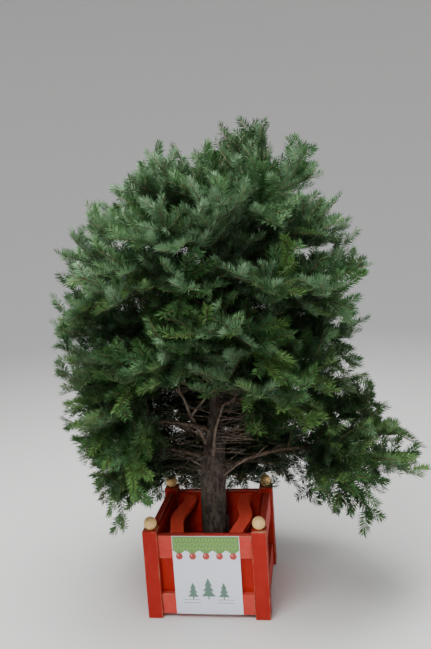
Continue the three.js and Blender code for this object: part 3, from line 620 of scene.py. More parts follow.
def card_print(width, height):
    """The print: a band whose lower edge is a cosine wave, slim kites leaning both ways in rows, circles with
    a smaller circle and a cap on each, and trees of three triangles on a stem over two lines."""
    margin, scallop = BAND["margin"], width / BAUBLES["count"]
    band_low = height - BAND["height"]
    across = np.linspace(margin, width - margin, BAND["columns"])
    wave = band_low + BAND["scallop"] * np.cos(2 * np.pi * across / scallop)
    band = np.concatenate([together(across, wave), together(across, height - margin)])
    faces = grid_faces(2, len(across), closed=False)
    piece("card_band", on_card(band, INK_LIFTS["band"]), faces, prints["band"], "card_stock", False)
    sprigs = []
    for column, row in np.ndindex(SPRIGS["columns"], SPRIGS["rows"]):
        share = (column + 0.5 + SPRIGS["shift"] * (row % 2)) / SPRIGS["columns"]
        x = mix(SPRIGS["left"], width - SPRIGS["right"], share)
        spot = np.array([x, height - SPRIGS["top"] - SPRIGS["step"] * row])
        lean = SPRIG["lean"] if column % 2 else -SPRIG["lean"]
        way = SPRIG["half"] * np.array([math.sin(lean), math.cos(lean)])
        side = SPRIG["slim"] * np.array([way[1], -way[0]])
        sprigs.append(np.array([spot - way, spot + side, spot + way, spot - side]))
    outline_piece("sprigs", sprigs, "sprigs")
    angle = np.linspace(0, 2 * np.pi, BAUBLES["sides"], endpoint=False)
    circle = together(np.cos(angle), np.sin(angle))
    row = scallop * (np.arange(BAUBLES["count"]) + 0.5)
    centres = together(row, band_low - BAUBLES["below"])
    shine = SHINE["aside"] * np.array([-1, 1]) + SHINE["radius"] * circle
    outline_piece("baubles", [centre + BAUBLES["radius"] * circle for centre in centres], "bauble")
    outline_piece("shines", [centre + shine for centre in centres], "shine")
    outline_piece("caps", [centre + rectangle(*CAP) for centre in centres], "trees")
    trees = []
    for x, size in SMALL_TREES["at"]:
        foot = np.array([width * x, SMALL_TREES["foot"]])
        for tier in range(TIERS["count"]):
            base = foot + [0, size * (TIERS["from"] + TIERS["step"] * tier)]
            half = size * (TIERS["half"] - TIERS["narrower"] * tier)
            trees.append(base + np.array([[-half, 0], [half, 0], [0, size * TIERS["height"]]]))
        half = SMALL_TREES["half"]
        trees.append(foot + rectangle(-half, -half, half, size * SMALL_TREES["stem"]))
    for level in LINES["levels"]:
        trees.append(rectangle(LINES["inset"], level, width - LINES["inset"], level + LINES["thick"]))
    outline_piece("trees", trees, "trees")


def tag():
    """A small folded paper on the inside of the back panel: a sheet whose width runs in shallow pleats, and
    which leans evenly towards the panel as it rises."""
    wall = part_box("panel_back")[0][1]
    across = np.linspace(TAG["left"], TAG["right"], PLEATS["columns"])[:, None]
    up = np.linspace(TAG["bottom"], TAG["top"], PLEATS["rows"])
    pleats = PLEATS["count"] * (across - TAG["left"]) / (TAG["right"] - TAG["left"])
    pleat = PLEATS["depth"] * np.abs(pleats % 1 - 0.5)
    lean = TAG["lean"] * (TAG["top"] - up) / (TAG["top"] - TAG["bottom"])
    front = together(across, wall - TAG["gap"] - lean + pleat, up)
    piece("inner_tag", *sheet(front, PLEATS["thick"]), white_card, "card_stock", False)


# Trunk
def trunk_axis(z):
    """The trunk's middle at a height: straight up, then off to the right as a power of the height."""
    up = np.maximum(z - LEAN["from"], 0) / (LEADER_TIP - LEAN["from"])
    return together(LEAN["offset"] + LEAN["at_tip"] * up ** LEAN["power"], 0, z)


def below(z, height, softness):
    """1 below a height and 0 above it, by a soft step."""
    return 1 / (1 + np.exp((z - height) / softness))


def trunk_radius(z):
    """A tapering shaft and a flare that comes in below the first boughs by a soft step."""
    down = 1 - np.maximum(z - TAPER["from"], 0) / (TRUNK_TOP - TAPER["from"])
    shaft = TAPER["tip"] + TAPER["shaft"] * np.maximum(down, 0) ** TAPER["power"]
    return shaft + FLARE["radius"] * below(z, FLARE["height"], FLARE["softness"])


def trunk():
    """Rings up the leaning axis. The bark's relief is a sum of waves, sharper near the foot, and a swelling
    round each bough's foot that falls off as a bell curve."""
    rows, columns = TRUNK_GRID
    z = np.linspace(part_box("trunk")[0][2], TRUNK_TOP, rows)[:, None]
    angle = np.linspace(0, 2 * np.pi, columns, endpoint=False)
    cracks = 1 - 2 * np.abs(waves(angle, z * 14, seed=3, count=26, round_most=16, along_most=9))
    lumps = waves(angle, z * 10, seed=4, count=16, round_most=5, along_most=7)
    coarse = RELIEF["fine"] + RELIEF["coarse"] * below(z, RELIEF["below"], RELIEF["fades"])
    radius = trunk_radius(z) * (1 + RELIEF["lumps"] * lumps)
    radius = radius - RELIEF["cracks"] * coarse * np.clip(cracks, -1, 1) ** 2
    for bough in boughs:
        centre = bough["paths"][0][0]
        way = math.atan2(*(bough["paths"][0][3] - centre)[[1, 0]])
        turn = (angle - way + np.pi) % (2 * np.pi) - np.pi
        rise = z - centre[2] - SWELLING["above"]
        near = np.exp(-((turn / SWELLING["turn"]) ** 2) - (rise / SWELLING["height"]) ** 2)
        radius = radius + SWELLING["share"] * trunk_radius(centre[2]) * near
    points = trunk_axis(z) + spun(radius, angle, 0)
    made = piece("trunk_with_bark", *shell(points), barks["trunk_bark"], "bark")
    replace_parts(made, "trunk")


# Boughs, by the same rule as the solids
def seeded(seed):
    """Draws from 0 to 1: each whole number is the last one times 1664525 plus 1013904223, kept to 32 bits."""
    state = seed
    while True:
        state = (state * 1664525 + 1013904223) & 0xFFFFFFFF
        yield state / 4294967296


def by_side(four, x, y):
    """Of values on the right, back, left and front, the one on x's side and the one on y's."""
    return np.where(x > 0, four[0], four[2]), np.where(y > 0, four[1], four[3])


def outline(one, azimuth):
    """The crown's outline: quarter ellipses between four reaches, and a height blended from four."""
    x, y = np.cos(azimuth), np.sin(azimuth)
    across, deep = by_side(one["reach"], x, y)
    beside, before = by_side(one["tips"], x, y)
    return spun(1 / np.hypot(x / across, y / deep), azimuth, mix(before, beside, x**2))


def curve(foot, turn, tip):
    """A quadratic curve's points at even steps."""
    t = np.linspace(0, 1, PATH_STEPS + 1)[:, None]
    return (1 - t) ** 2 * foot + 2 * t * (1 - t) * turn + t**2 * tip


def bough_path(one, azimuth, raised):
    """A curve from the trunk's axis, which sets out at the whorl's rise, to the crown's outline."""
    foot = trunk_axis(one["height"] + raised * STAGGER["foot"])
    tip = outline(one, azimuth) + [0, 0, raised * STAGGER["tip"]]
    across = (tip - foot) * [1, 1, 0]
    turn = foot + across * TURN_SHARE
    turn[2] += np.linalg.norm(across) * TURN_SHARE * math.tan(math.radians(one["rise"]))
    return curve(foot, turn, tip)


def fork_path(one, azimuth, raised, side, path):
    """A fork sets out along its bough's heading and curves aside, to a tip just inside the outline."""
    start = one["limb"] + FORK["after_limb"] if one["limb"] > 0 else FORK["start"]
    foot = along(path, start)
    tip = outline(one, azimuth + side * math.radians(FORK["spread"] * one["step"]))
    rise = side * FORK_TIP["tilt"] - raised * FORK_TIP["counter"]
    tip = tip * [FORK["reach"], FORK["reach"], 1] + [0, 0, rise]
    turn = foot + heading(path, start) * FORK["turn"] * np.linalg.norm(tip - foot)
    return curve(foot, turn, tip)


def grow_boughs():
    """Every bough with its two forks, in the solids' order and by the solids' draws."""
    made = []
    for one in WHORLS:
        for i in range(one["count"]):
            random = seeded(SEED["first"] + SEED["step"] * len(made))
            azimuth = math.radians(one["first"] + one["step"] * i + AZIMUTH_JITTER * (next(random) - 0.5))
            raised = 1 if i % 2 else -1
            path = bough_path(one, azimuth, raised)
            paths = [path] + [fork_path(one, azimuth, raised, side, path) for side in (-1, 1)]
            made.append({"name": f"{one['name']}_{i + 1}", "whorl": one, "random": random, "paths": paths})
    return made


def along(paths, share):
    """A point at a share of the way along each path, by straight lines between the path's points."""
    share = np.asarray(share, dtype=float)
    paths = np.broadcast_to(paths, (*share.shape, PATH_STEPS + 1, 3))
    at = np.clip(share, 0, 1) * PATH_STEPS
    before = np.minimum(at.astype(int), PATH_STEPS - 1)[..., None, None]
    low = np.take_along_axis(paths, before, axis=-2)[..., 0, :]
    high = np.take_along_axis(paths, before + 1, axis=-2)[..., 0, :]
    return mix(low, high, at[..., None] - before[..., 0])


def heading(paths, share):
    step = 0.5 / PATH_STEPS
    return unit(along(paths, share + step) - along(paths, share - step))


def path_length(paths):
    return np.linalg.norm(np.diff(paths, axis=-2), axis=-1).sum(axis=-1)


def bough_distances(points):
    """Distance from each point to each bough with its forks, past the first eighth of their paths."""
    start = stems[:, 2:-1]
    stretch = stems[:, 3:] - start
    found = np.empty((len(points), len(boughs)))
    for number in range(len(boughs)):
        own = slice(3 * number, 3 * number + 3)
        offset = points[:, None, None] - start[own]
        share = np.clip((offset * stretch[own]).sum(axis=-1) / (stretch[own] ** 2).sum(axis=-1), 0, 1)
        found[:, number] = np.linalg.norm(offset - share[..., None] * stretch[own], axis=-1).min(axis=(1, 2))
    return found


def in_own_space(points, own):
    """True where a point's own bough is about the nearest, and it is clear of stand and trunk."""
    far = bough_distances(points)
    mine = far[np.arange(len(points)), own]
    far[np.arange(len(points)), own] = np.inf
    z = points[:, 2]
    off_trunk = np.linalg.norm(points - trunk_axis(z), axis=1) > trunk_radius(z) + CLEARANCE
    post_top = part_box("ball_front_left")[1][2] + CLEARANCE
    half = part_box("post_front_right")[1][0] + CLEARANCE
    on_stand = (z < post_top) & (np.abs(points[:, :2]).max(axis=1) < half)
    return (far.min(axis=1) > mine - SPACE_OVERLAP) & off_trunk & ~on_stand


def height_share(height):
    return np.clip((height - LIFT["from"]) / (LIFT["to"] - LIFT["from"]), 0, 1)


def crown_share(points):
    """How far out each point is: its distance from the upright over the outline's there, which runs straight
    from each whorl's tips to the next one's and on to the leader's tip."""
    x, y, z = points.T
    azimuth = np.arctan2(y, x)
    edges = [outline(one, azimuth) for one in WHORLS]
    last = np.maximum(LEADER_REACH["beside"] + LEAN["at_tip"] * np.cos(azimuth), LEADER_REACH["least"])
    edges.append(spun(last, azimuth, LEADER_TIP + LEADER_REACH["above"]))
    reach = [np.hypot(edge[:, 0], edge[:, 1]) for edge in edges]
    out = reach[0]
    for k in range(len(WHORLS)):
        low, high = edges[k][:, 2], edges[k + 1][:, 2]
        t = np.clip((z - low) / (high - low), 0, 1)
        out = np.where(z > low, mix(reach[k], reach[k + 1], t), out)
    return np.hypot(x, y) / out


def in_crown(points):
    """True inside the crown's outline, which the upper shoots pass by a little as they rise, and out of the
    open space before the trunk's foot."""
    x, y, z = points.T
    beside = (x < OPEN_FRONT["from"]) | (x > OPEN_FRONT["to"]) | (y > 0)
    over = z > OPEN_FRONT["below"] - OPEN_FRONT["slope"] * y
    lower = points - UPRIGHT * (FARTHEST["higher"] * height_share(z))[:, None]
    return (crown_share(lower) < FARTHEST["share"]) & (beside | over)


# Sprays
def foliage_start(number):
    """Where the foliage of a stem or fork starts, as a share of its way."""
    if number % 3:
        return FORK["bare"]
    limb = boughs[number // 3]["whorl"]["limb"]
    return limb + BARE_SHARE["after_limb"] if limb > 0 else BARE_SHARE["from_trunk"]


def spray_reach(t, leafy):
    reach = SPRAY_LENGTHS["least"] + SPRAY_LENGTHS["share"] * leafy * (1 - t)
    return np.minimum(reach, SPRAY_LENGTHS["most"])


def solid_sprays():
    """The solids' sprays, draw by draw: the stem's number, then each spray's share of the way, splay, roll
    and length in one row. Each stem ends in one more, straight on."""
    rows = []
    for number, path in enumerate(stems):
        random = boughs[number // 3]["random"]
        side = (1, -1, 1)[number % 3]
        rolls = FORK_ROLLS[side] if number % 3 else STEM_ROLLS
        start = foliage_start(number)
        leafy = (STEM_END - start) * path_length(path)
        spacing = SPRAY_SPACING["fork" if number % 3 else "stem"]
        stations = max(2, math.floor(leafy / spacing + 0.5))
        for i in range(stations):
            for roll in rolls[i % len(rolls)]:
                lead = roll / STATION["roll_lead"] + STATION["jitter"] * next(random)
                t = (i + STATION["start"] + lead) / stations
                splay = math.radians(mix(*SPRAY_ANGLES, t) + SPRAY_JITTER["splay"] * (next(random) - 0.5))
                turn = math.radians(side * roll + SPRAY_JITTER["roll"] * (next(random) - 0.5))
                length = spray_reach(t, leafy) * mix(*SPRAY_JITTER["lengths"], next(random))
                length *= mix(TOP_SPRAY, 1, abs(math.sin(turn)))
                rows.append((number, mix(start, STEM_END, t), splay, turn, length))
        rows.append((number, STEM_END, 0, 0, (1 - STEM_END) * path_length(path)))
    return np.array(rows)


def fill_sprays():
    """Sprays between the solids' own, as the same rows: down each stem and fork, each rolled on from the last
    by the golden angle."""
    start = np.array([foliage_start(number) for number in range(len(stems))])
    leafy = (STEM_END - start) * path_length(stems)
    count = np.round(leafy / FILL["spacing"]).astype(int)
    number, step = numbered(count)
    t = (step + rng.random(len(number))) / count[number]
    splay = np.radians(mix(*SPRAY_ANGLES, t) + rng.normal(0, FILL["splay"], len(number)))
    turn = GOLDEN * step + rng.normal(0, FILL["roll"], len(number)) + FILL["apart"] * number
    length = spray_reach(t, leafy[number]) * rng.uniform(*FILL["lengths"], len(number))
    return together(number, mix(start[number], STEM_END, t), splay, np.radians(turn), length)


def shoots(foot, way, up, length, bough, sag):
    """Shoots as arrays: each one's foot, way, the side of it that faces up, length, bough and sag."""
    up = square_to(up, way)[1]
    bough, sag = np.broadcast_to(bough, len(length)), np.broadcast_to(sag, len(length))
    return {"foot": foot, "way": way, "up": up, "length": length, "bough": bough, "sag": sag}


def keep(several, which):
    return {key: value[which] for key, value in several.items()}


def join(*several):
    return {key: np.concatenate([one[key] for one in several]) for key in several[0]}


def shoot_points(several, share):
    """Points along each shoot: straight on, less a sag that grows with the square of the share."""
    drop = (several["sag"] * several["length"])[:, None] * share[:, None] ** 2
    return several["foot"] + several["way"] * (several["length"] * share)[:, None] - several["up"] * drop


def shoot_heading(several, share):
    return unit(several["way"] - several["up"] * (2 * several["sag"] * share)[:, None])


def lifted(way, height):
    """A shoot's way drawn down a little low in the crown and up towards the light high in it."""
    return unit(way + mix(LIFT["low"], LIFT["high"], height_share(height))[:, None] * UPRIGHT)


def upturn(height):
    """Shoots sag low in the crown and turn up towards the light high in it."""
    t = np.clip((height - UPTURN["from"]) / (UPTURN["to"] - UPTURN["from"]), 0, 1)
    return UPTURN["sag"] - UPTURN["most"] * t


def placed_sprays(rows):
    """Sprays as arrays, each splayed from its stem by one angle and rolled about it by another. The solids'
    ones stand out of a core, so their reach counts from half way into it."""
    number = rows[:, 0].astype(int)
    share, splay, turn, length = rows.T[1:]
    foot, forward = along(stems[number], share), heading(stems[number], share)
    level, up = square_to(UPRIGHT, forward)
    away = swung(up, level, turn)
    way, face = swung(forward, away, splay), swung(away, -forward, splay)
    face = up * np.abs(np.sin(turn))[:, None] - face * np.abs(np.cos(turn))[:, None]
    aside = splay > 0
    face = np.where(aside[:, None], face, up)
    way = np.where(aside[:, None], lifted(way, foot[:, 2]), way)
    room = bough_distances(foot)
    room[np.arange(len(rows)), number // 3] = np.inf
    thick = np.minimum(CORE["widest"], CORE["room"] * room.min(axis=1))
    thick = thick * np.interp(share, *CORE_PROFILE)
    length = length + CORE["in_core"] * thick * aside - END_ROOM
    return shoots(foot, way, face, length, number // 3, upturn(foot[:, 2]) * aside)


def fitted(made, free):
    """The shoots that end in their own space and, where they are not free of it, in the crown, made shorter
    where they must be. The others are skipped."""
    count = len(made["length"])
    full, fits = made["length"].copy(), np.zeros(count, dtype=bool)
    for share in SHORTER:
        made["length"] = np.where(fits, made["length"], full * share)
        ends = shoot_points(made, np.ones(count))
        middles = shoot_points(made, np.full(count, MIDDLE))
        good = in_own_space(ends, made["bough"]) & in_own_space(middles, made["bough"])
        fits = fits | (good & (free | in_crown(ends)))
    return keep(made, fits)


def trunk_sprays(fill):
    """Short branches straight from the trunk between the whorls, each turned on by the golden angle, within
    two azimuths where they are given."""
    count, jitter = fill["count"], TRUNK_FILL_JITTER
    t = (np.arange(count) + rng.random(count)) / count
    azimuth = GOLDEN * np.arange(count) + rng.normal(0, jitter["turn"], count)
    if "turns" in fill:
        azimuth = mix(*fill["turns"], azimuth / 360 % 1)
    rise = mix(*fill["rises"], t) + rng.normal(0, jitter["rise"], count)
    way = bearing(np.radians(azimuth), np.radians(rise))
    foot = trunk_axis(mix(*fill["heights"], t))
    length = mix(*fill["lengths"], t) * rng.uniform(*jitter["lengths"], count)
    bough = bough_distances(foot + way * length[:, None]).argmin(axis=1)
    return shoots(foot, way, UPRIGHT, length, bough, -UPTURN["sag"])


def fans(sprays):
    """Side shoots of each spray in pairs, left and right, splayed less and shorter towards its end."""
    pairs = np.clip(np.round(sprays["length"] / FAN["spacing"]), 1, FAN["most"]).astype(int)
    parent, number = numbered(2 * pairs)
    own = keep(sprays, parent)
    count = len(parent)
    share = (number // 2 + FAN["from"] + FAN["uneven"] * rng.random(count)) / pairs[parent]
    forward = shoot_heading(own, share)
    side = square_to(own["up"], forward)[0] * np.where(number % 2, 1, -1)[:, None]
    splay = np.radians(mix(*FAN["angles"], share) + rng.normal(0, FAN["jitter"], count))
    away = swung(side, own["up"], np.radians(rng.normal(*FAN_RISE["lift"], count)))
    foot = shoot_points(own, share)
    way = swung(forward, away, splay)
    way = unit(mix(way, lifted(way, foot[:, 2]), FAN_RISE["lifted"]))
    full = FAN_LENGTHS["share"] * own["length"] * (1 - share) + FAN_LENGTHS["more"]
    length = np.clip(full, FAN_LENGTHS["least"], FAN_LENGTHS["most"])
    length = length * rng.uniform(*FAN_LENGTHS["jitter"], count)
    sag = FAN_RISE["sag"] * upturn(foot[:, 2]) + rng.normal(0, FAN_RISE["uneven"], count)
    made = shoots(foot, way, own["up"], length, own["bough"], sag)
    end = shoot_points(made, np.ones(count))
    return keep(made, in_own_space(end, made["bough"]) & in_crown(end))


def stem_shoots():
    """The outer part of each stem and fork itself, cut into stretches that bear needles."""
    share = np.linspace(BEARING["from"], STEM_END, BEARING["stretches"] + 1)
    points = along(stems[:, None], np.broadcast_to(share, (len(stems), len(share))))
    step = np.diff(points, axis=1).reshape(-1, 3)
    bough = np.repeat(np.arange(len(stems)) // 3, BEARING["stretches"])
    foot, length = points[:, :-1].reshape(-1, 3), np.linalg.norm(step, axis=1)
    return shoots(foot, unit(step), UPRIGHT, length, bough, 0)


def leader_shoots():
    """The trunk's last shoot, and a ring of short ones that stand up round its foot."""
    k = np.arange(LEADER_RING["shoots"])
    below_top = np.append(LEADER["inside"], LEADER_RING["from"] + LEADER_RING["step"] * k)
    foot = trunk_axis(TRUNK_TOP - below_top)
    turn = 2 * np.pi * k / len(k) + LEADER_RING["turn"]
    ring = RING_SHOOT["length"] * spun(RING_SHOOT["out"], turn, RING_SHOOT["rise"])
    step = np.vstack([trunk_axis(LEADER_TIP - LEADER["short"]) - foot[0], ring])
    return shoots(foot, unit(step), LEADER["up"], np.linalg.norm(step, axis=1), len(boughs) - 1, 0)


def tubes(several, foot_radius, tip_radius, sides, steps):
    """Every shoot as a tapering tube of a few sides, with a face over each end."""
    count = len(several["length"])
    own = keep(several, np.repeat(np.arange(count), steps + 1))
    at = np.tile(np.linspace(0, 1, steps + 1), count)
    side, up = square_to(own["up"], shoot_heading(own, at))
    radii = np.broadcast_arrays(foot_radius, tip_radius, several["length"])[:2]
    radius = mix(*np.repeat(radii, steps + 1, axis=1), at)[:, None, None]
    across = swung(side[:, None], up[:, None], np.arange(sides) * 2 * np.pi / sides)
    points = (shoot_points(own, at)[:, None] + radius * across).reshape(-1, 3)
    start = np.arange(count)[:, None, None] * (steps + 1) * sides
    walls, caps = start + grid_faces(steps + 1, sides), start + end_faces(steps + 1, sides)
    return points, [walls.reshape(-1, 4), caps.reshape(-1, sides)]


def needles(several):
    """Needles in even rows along each shoot, on both sides and above it, each a thin kite of two faces,
    folded along its middle and leaning forward more towards the shoot's end. Returns points and shoots."""
    rows = len(NEEDLE_PLACES)
    hidden = crown_share(several["foot"]) < NEEDLES_THIN["within"]
    step = NEEDLE["step"] * np.where(hidden, NEEDLES_THIN["step"], 1)
    count = rows * np.maximum(NEEDLE["least"], np.round(several["length"] / step)).astype(int)
    parent, number = numbered(count)
    own, total = keep(several, parent), len(parent)
    share = (number + rows * NEEDLE_JITTER["step"] * rng.random(total)) / count[parent]
    place = np.array(NEEDLE_PLACES)[number % rows] + rng.normal(0, NEEDLE_JITTER["place"], total)
    lean = mix(*NEEDLE["angles"], share**2) + rng.normal(0, NEEDLE_JITTER["lean"], total)
    forward = shoot_heading(own, share)
    side, up = square_to(own["up"], forward)
    way = swung(forward, swung(up, side, np.radians(place)), np.radians(lean))
    size = NEEDLE["length"] * rng.uniform(*NEEDLE_JITTER["lengths"], total) * (1 - KITE["shorter"] * share**3)
    face = up + NEEDLE_JITTER["face"] * side * rng.normal(0, 1, (total, 1))
    face = unit(face - way * (face * way).sum(axis=1, keepdims=True))
    across = np.cross(way, face) * NEEDLE["width"] / 2
    foot, size = shoot_points(own, share), size[:, None]
    middle = foot + way * size * KITE["widest"] + face * NEEDLE["width"] * KITE["fold"]
    tip = foot + size * (way + face * KITE["curl"])
    return np.stack([foot, middle + across, tip, middle - across], axis=1), parent


def needle_pieces(points, colour_of):
    """The needles of each colour, in pieces small enough to handle. The first stands for all foliage."""
    made = []
    for number, (name, material) in enumerate(needle_materials.items()):
        mine = points[colour_of == number]
        for part, chunk in enumerate(np.array_split(mine, math.ceil(len(mine) / MOST_IN_PIECE))):
            faces = (np.arange(len(chunk))[:, None, None] * 4 + KITE_FACES).reshape(-1, 3)
            points_here = chunk.reshape(-1, 3)
            made.append(piece(f"needles_{name}_{part + 1}", points_here, faces, material, "needles", False))
    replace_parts(made[0], *[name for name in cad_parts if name.startswith("foliage")])


def colour_numbers(several):
    """Deals each shoot a colour by a score of painted light and shade: painted shade near the trunk and low,
    fresh at the low tips, and a painted highlight on top.
    """
    count = len(several["length"])
    tip = shoot_points(several, np.ones(count))
    height = height_share(tip[:, 2])
    out = crown_share(tip)
    # The score of painted light and shade: how far out the tip is, jittered, lowered low and raised on top
    light = out + LIGHT["jitter"] * (rng.random(count) - 0.5) - mix(LIGHT["low"], LIGHT["high"], height)
    shaded, deep, green, blue, fresh, painted_highlight = range(6)

    def some(chance):
        return rng.random(count) < mix(*CHANCES[chance], height)

    # Darker colours as painted shade where the score is low, paler ones as painted light where it is high
    number = np.where((light > LIGHT_ON["blue"]) & some("blue"), blue, green)
    number = np.where(light < LIGHT_ON["deep"], deep, number)
    number = np.where(light < LIGHT_ON["shaded"], shaded, number)
    number = np.where((out > LIGHT_ON["fresh"]) & some("fresh"), fresh, number)
    return np.where((light > LIGHT_ON["painted_highlight"]) & some("painted_highlight"), painted_highlight, number)


# Limbs and twigs
def limb_tube(path, radii, sides, seed, relief):
    """A limb along a path: rings square to it, with a few waves of relief."""
    side, up = square_to(UPRIGHT, unit(np.gradient(path, axis=0)))
    angle = np.linspace(0, 2 * np.pi, sides, endpoint=False)
    rows = np.arange(len(path))[:, None]
    uneven = waves(angle, rows * 0.8, seed, count=9, round_most=4, along_most=1.2)
    radius = radii[:, None] * (1 + relief * uneven)
    return shell(path[:, None] + radius[..., None] * swung(side[:, None], up[:, None], angle))


def limbs():
    """Each bough from inside the trunk to its last spray, with its two forks. The bare ones replace their
    solids, one piece each, and the others are joined."""
    share = np.linspace(0, STEM_END, LIMB["steps"])
    inner = []
    for number, path in enumerate(stems):
        bough = boughs[number // 3]
        bare = bough["whorl"]["limb"] > 0
        foot = BOUGH_RADIUS if bare else STEM_TO_TRUNK * trunk_radius(bough["paths"][0][0][2])
        shows = bare and number % 3 == 0
        foot = LIMB["fork"] * foot if number % 3 else foot
        radii = mix(foot, STEM_TIP_RADIUS, (share / STEM_END) ** LIMB["taper"])
        sides = LIMB["sides"] if shows else LIMB["inner_sides"]
        made = limb_tube(along(path, share), radii, sides, LIMB["seed"] + number, LIMB["relief"])
        if shows:
            name = "bough_" + bough["name"]
            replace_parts(piece(name + "_with_bark", *made, barks["bough_bark"], "twig_bark"), name)
        else:
            inner.append(made)
    piece("stems_in_the_foliage", *joined(inner), barks["bough_bark"], "twig_bark")


def smooth_path(points, steps=24):
    """A smooth line through the points given: each stretch is a cubic that leaves and enters along the line
    between the points beside it."""
    points = np.array(points, dtype=float)
    slope = np.gradient(points, axis=0)
    at = np.linspace(0, len(points) - 1, steps)
    before = np.minimum(at.astype(int), len(points) - 2)
    t = (at - before)[:, None]
    foot, tip = points[before], points[before + 1]
    bend_out, bend_in = slope[before] - (tip - foot), (tip - foot) - slope[before + 1]
    return mix(foot, tip, t) + t * (1 - t) * ((1 - t) * bend_out + t * bend_in)


def bare_limbs():
    """The bare limbs of the crown's open foot, which fork before the trunk, as one piece."""
    made = []
    for number, (foot, tip, line) in enumerate(BARE_LIMBS):
        path = smooth_path(line) / 1000
        radii = mix(foot, tip, np.linspace(0, 1, len(path)) ** LIMB["taper"]) / 1000
        seed = BARE_LIMB["seed"] + number
        made.append(limb_tube(path, radii, BARE_LIMB["sides"], seed, BARE_LIMB["relief"]))
    piece("bare_limbs", *joined(made), barks["dead_twig_bark"], "twig_bark")


def bare_twigs():
    """Dead twigs in the open foot of the crown: from the trunk, from the bare part of the lower boughs, and a
    close row, nearly level, beside the trunk. Each forks twice."""
    draw = np.random.default_rng(19)
    count = BARE_TWIGS["count"]
    rise = np.radians(draw.uniform(*BARE_TWIGS["rises"], count))
    way = [bearing(draw.uniform(0, 2 * np.pi, count), rise)]
    foot = [trunk_axis(draw.uniform(*BARE_TWIGS["heights"], count))]
    length = [draw.uniform(*BARE_TWIGS["lengths"], count)]
    each, count = BOUGH_TWIGS["each"], BOUGH_TWIGS["each"] * BOUGH_TWIGS["boughs"]
    share = np.tile(np.linspace(*BOUGH_TWIGS["shares"], each), BOUGH_TWIGS["boughs"])
    own = np.repeat(stems[: 3 * BOUGH_TWIGS["boughs"] : 3], each, axis=0)
    forward = heading(own, share)
    level = square_to(UPRIGHT, forward)[0] * draw.choice([-1, 1], (count, 1))
    level[:, 2] = draw.uniform(*TWIG_TILTS, count)
    way.append(unit(swung(forward, level, np.radians(draw.uniform(*BOUGH_TWIGS["splays"], count)))))
    foot.append(along(own, share))
    length.append(draw.uniform(*BOUGH_TWIGS["lengths"], count))
    count = TWIG_ROW["count"]
    t = (np.arange(count) + draw.uniform(0, TWIG_ROW_JITTER["height"], count)) / count
    before = draw.uniform(*TWIG_ROW_JITTER["before"], count)
    way.append(unit(together(1, before, draw.uniform(*TWIG_ROW_JITTER["rise"], count))))
    foot.append(trunk_axis(mix(*TWIG_ROW["heights"], t)) + TWIG_ROW["from_axis"])
    length.append(draw.uniform(*TWIG_ROW["lengths"], count))
    foot, way, length = np.concatenate(foot), np.concatenate(way), np.concatenate(length)
    twigs = shoots(foot, way, UPRIGHT, length, 0, draw.uniform(*TWIG_SAGS, len(length)))
    count = 2 * len(length)
    share = draw.uniform(*TWIG_FORKS["shares"], count)
    parents = keep(twigs, np.repeat(np.arange(len(length)), 2))
    aside, upward, most_sag = TWIG_FORKS["aside"], TWIG_FORKS["upward"], TWIG_FORKS["sag"]
    side = square_to(parents["up"], parents["way"])[0] * draw.uniform(-aside, aside, (count, 1))
    way = unit(parents["way"] + side + parents["up"] * draw.uniform(-upward, upward, (count, 1)))
    length = parents["length"] * (1 - share) * draw.uniform(*TWIG_FORKS["lengths"], count)
    foot, sag = shoot_points(parents, share), draw.uniform(-most_sag, most_sag, count)
    both = join(twigs, shoots(foot, way, parents["up"], length, 0, sag))
    thick = np.repeat(TWIG_RADII["feet"], [count // 2, count])
    made = tubes(both, thick, thick * TWIG_RADII["tip"], 4, 5)
    piece("bare_twigs", *made, barks["dead_twig_bark"], "twig_bark")


def crown():
    """Sprays, side shoots and their needles."""
    own = solid_sprays()
    sprays = placed_sprays(np.concatenate([own, fill_sprays()]))
    sprays = join(sprays, *[trunk_sprays(fill) for fill in TRUNK_FILLS])
    sprays = fitted(sprays, np.arange(len(sprays["length"])) < len(own))
    sides, leader = fans(sprays), leader_shoots()
    foot_radius = SPRAY_RADII["foot"] + SPRAY_RADII["more"] * sprays["length"]
    twigs = tubes(sprays, foot_radius, SPRAY_RADII["tip"], 4, 3)
    piece("spray_twigs", *twigs, barks["twig_bark"], "twig_bark")
    young = tubes(join(sides, leader), *YOUNG_RADII, 3, 2)
    piece("young_shoots", *young, barks["young_shoot_bark"], "twig_bark")
    needled = join(sprays, sides, leader, stem_shoots())
    points, parent = needles(needled)
    needle_pieces(points, colour_numbers(needled)[parent])


# Studio
def put(made, place, right, up):
    """Links a lamp or camera and sets it at a place, with its own right and up."""
    turn = np.eye(4)
    turn[:3] = np.stack([right, up, np.cross(right, up), place], axis=1)
    bpy.context.scene.collection.objects.link(made)
    made.matrix_world = Matrix(turn.tolist())


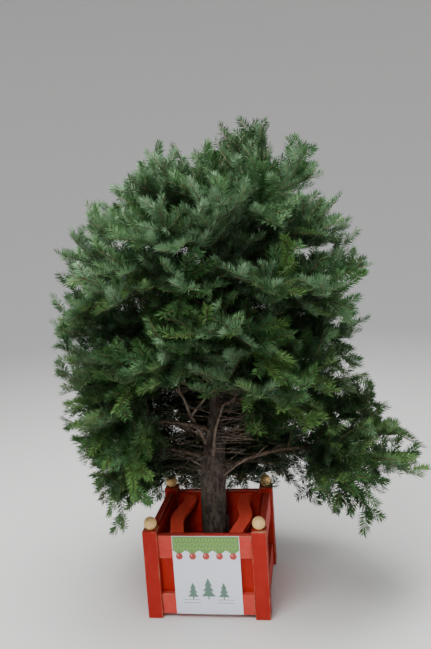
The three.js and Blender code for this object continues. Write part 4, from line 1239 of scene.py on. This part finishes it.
def studio():
    """A plain pale floor, flat under the tree, that sweeps up all round and far off to a low rim: a quarter
    circle carried round the upright axis. A large soft light hangs overhead to the left, with weaker ones
    beside, and a narrow weak one low in front."""
    swing = np.linspace(0, np.pi / 2, SWEEP["steps"])
    reach = SWEEP["from"] + SWEEP["radius"] * np.sin(swing)
    reach = np.concatenate([SWEEP["flat"], reach, reach[-1:]])[:, None]
    height = SWEEP["radius"] * (1 - np.cos(swing))
    height = np.concatenate([np.zeros(len(SWEEP["flat"])), height, [SWEEP["rim"]]])[:, None]
    points = spun(reach, np.linspace(0, 2 * np.pi, SWEEP["sides"], endpoint=False), height)
    mesh = bpy.data.meshes.new("floor")
    mesh.from_pydata(points.reshape(-1, 3).tolist(), [], grid_faces(*points.shape[:2]).tolist())
    mesh.polygons.foreach_set("use_smooth", np.ones(len(mesh.polygons), dtype=bool))
    floor = bpy.data.objects.new("floor", mesh)
    bpy.context.scene.collection.objects.link(floor)
    coat = bpy.data.materials.new("pale_floor")
    coat.use_nodes = True
    coat.node_tree.nodes["Principled BSDF"].inputs["Base Color"].default_value = (0.82, 0.81, 0.79, 1)
    coat.node_tree.nodes["Principled BSDF"].inputs["Roughness"].default_value = 0.8
    mesh.materials.append(coat)
    world = bpy.data.worlds.new("surround")
    world.use_nodes = True
    world.node_tree.nodes["Background"].inputs["Color"].default_value = (0.86, 0.9, 0.95, 1)
    world.node_tree.nodes["Background"].inputs["Strength"].default_value = 0.4
    bpy.context.scene.world = world
    for name, place, target, width, power, spread in LIGHTS:
        data = bpy.data.lights.new(name, "AREA")
        data.size, data.energy, data.spread = width, power, math.radians(spread)
        aim = unit(np.array(target) - place)
        side = unit(np.cross(aim, [0, 0, 1.0]))
        put(bpy.data.objects.new(name, data), place, side, np.cross(side, aim))


def camera():
    """The photograph's view: a camera fitted to the stand's corners, with its turns in degrees."""
    place = np.array([0.346, -2.0326, 1.1837])
    yaw, pitch, roll = np.radians([-8.279, -8.607, -3.700])
    focal_pixels, long_side, sensor = 671.6, 649, 36.0
    forward = np.array([math.sin(yaw) * math.cos(pitch), math.cos(yaw) * math.cos(pitch), math.sin(pitch)])
    level = np.array([math.cos(yaw), -math.sin(yaw), 0.0])
    upright = np.cross(level, forward)
    right = math.cos(roll) * level + math.sin(roll) * upright
    up = -math.sin(roll) * level + math.cos(roll) * upright
    data = bpy.data.cameras.new("view")
    data.sensor_width = sensor
    data.lens = sensor * focal_pixels / long_side
    view = bpy.data.objects.new("view", data)
    put(view, place, right, up)
    bpy.context.scene.camera = view


camera()
studio()
boughs = grow_boughs()
stems = np.concatenate([bough["paths"] for bough in boughs])
stand()
wavy_board("wavy_board_left", -1)
wavy_board("wavy_board_right", 1)
for node_name in [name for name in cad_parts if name.startswith("ball")]:
    ball(node_name)
card()
tag()
floor_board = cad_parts["stand_floor"]
floor_board.data.materials.clear()
floor_board.data.materials.append(floor_paint)
trunk()
limbs()
bare_limbs()
bare_twigs()
crown()
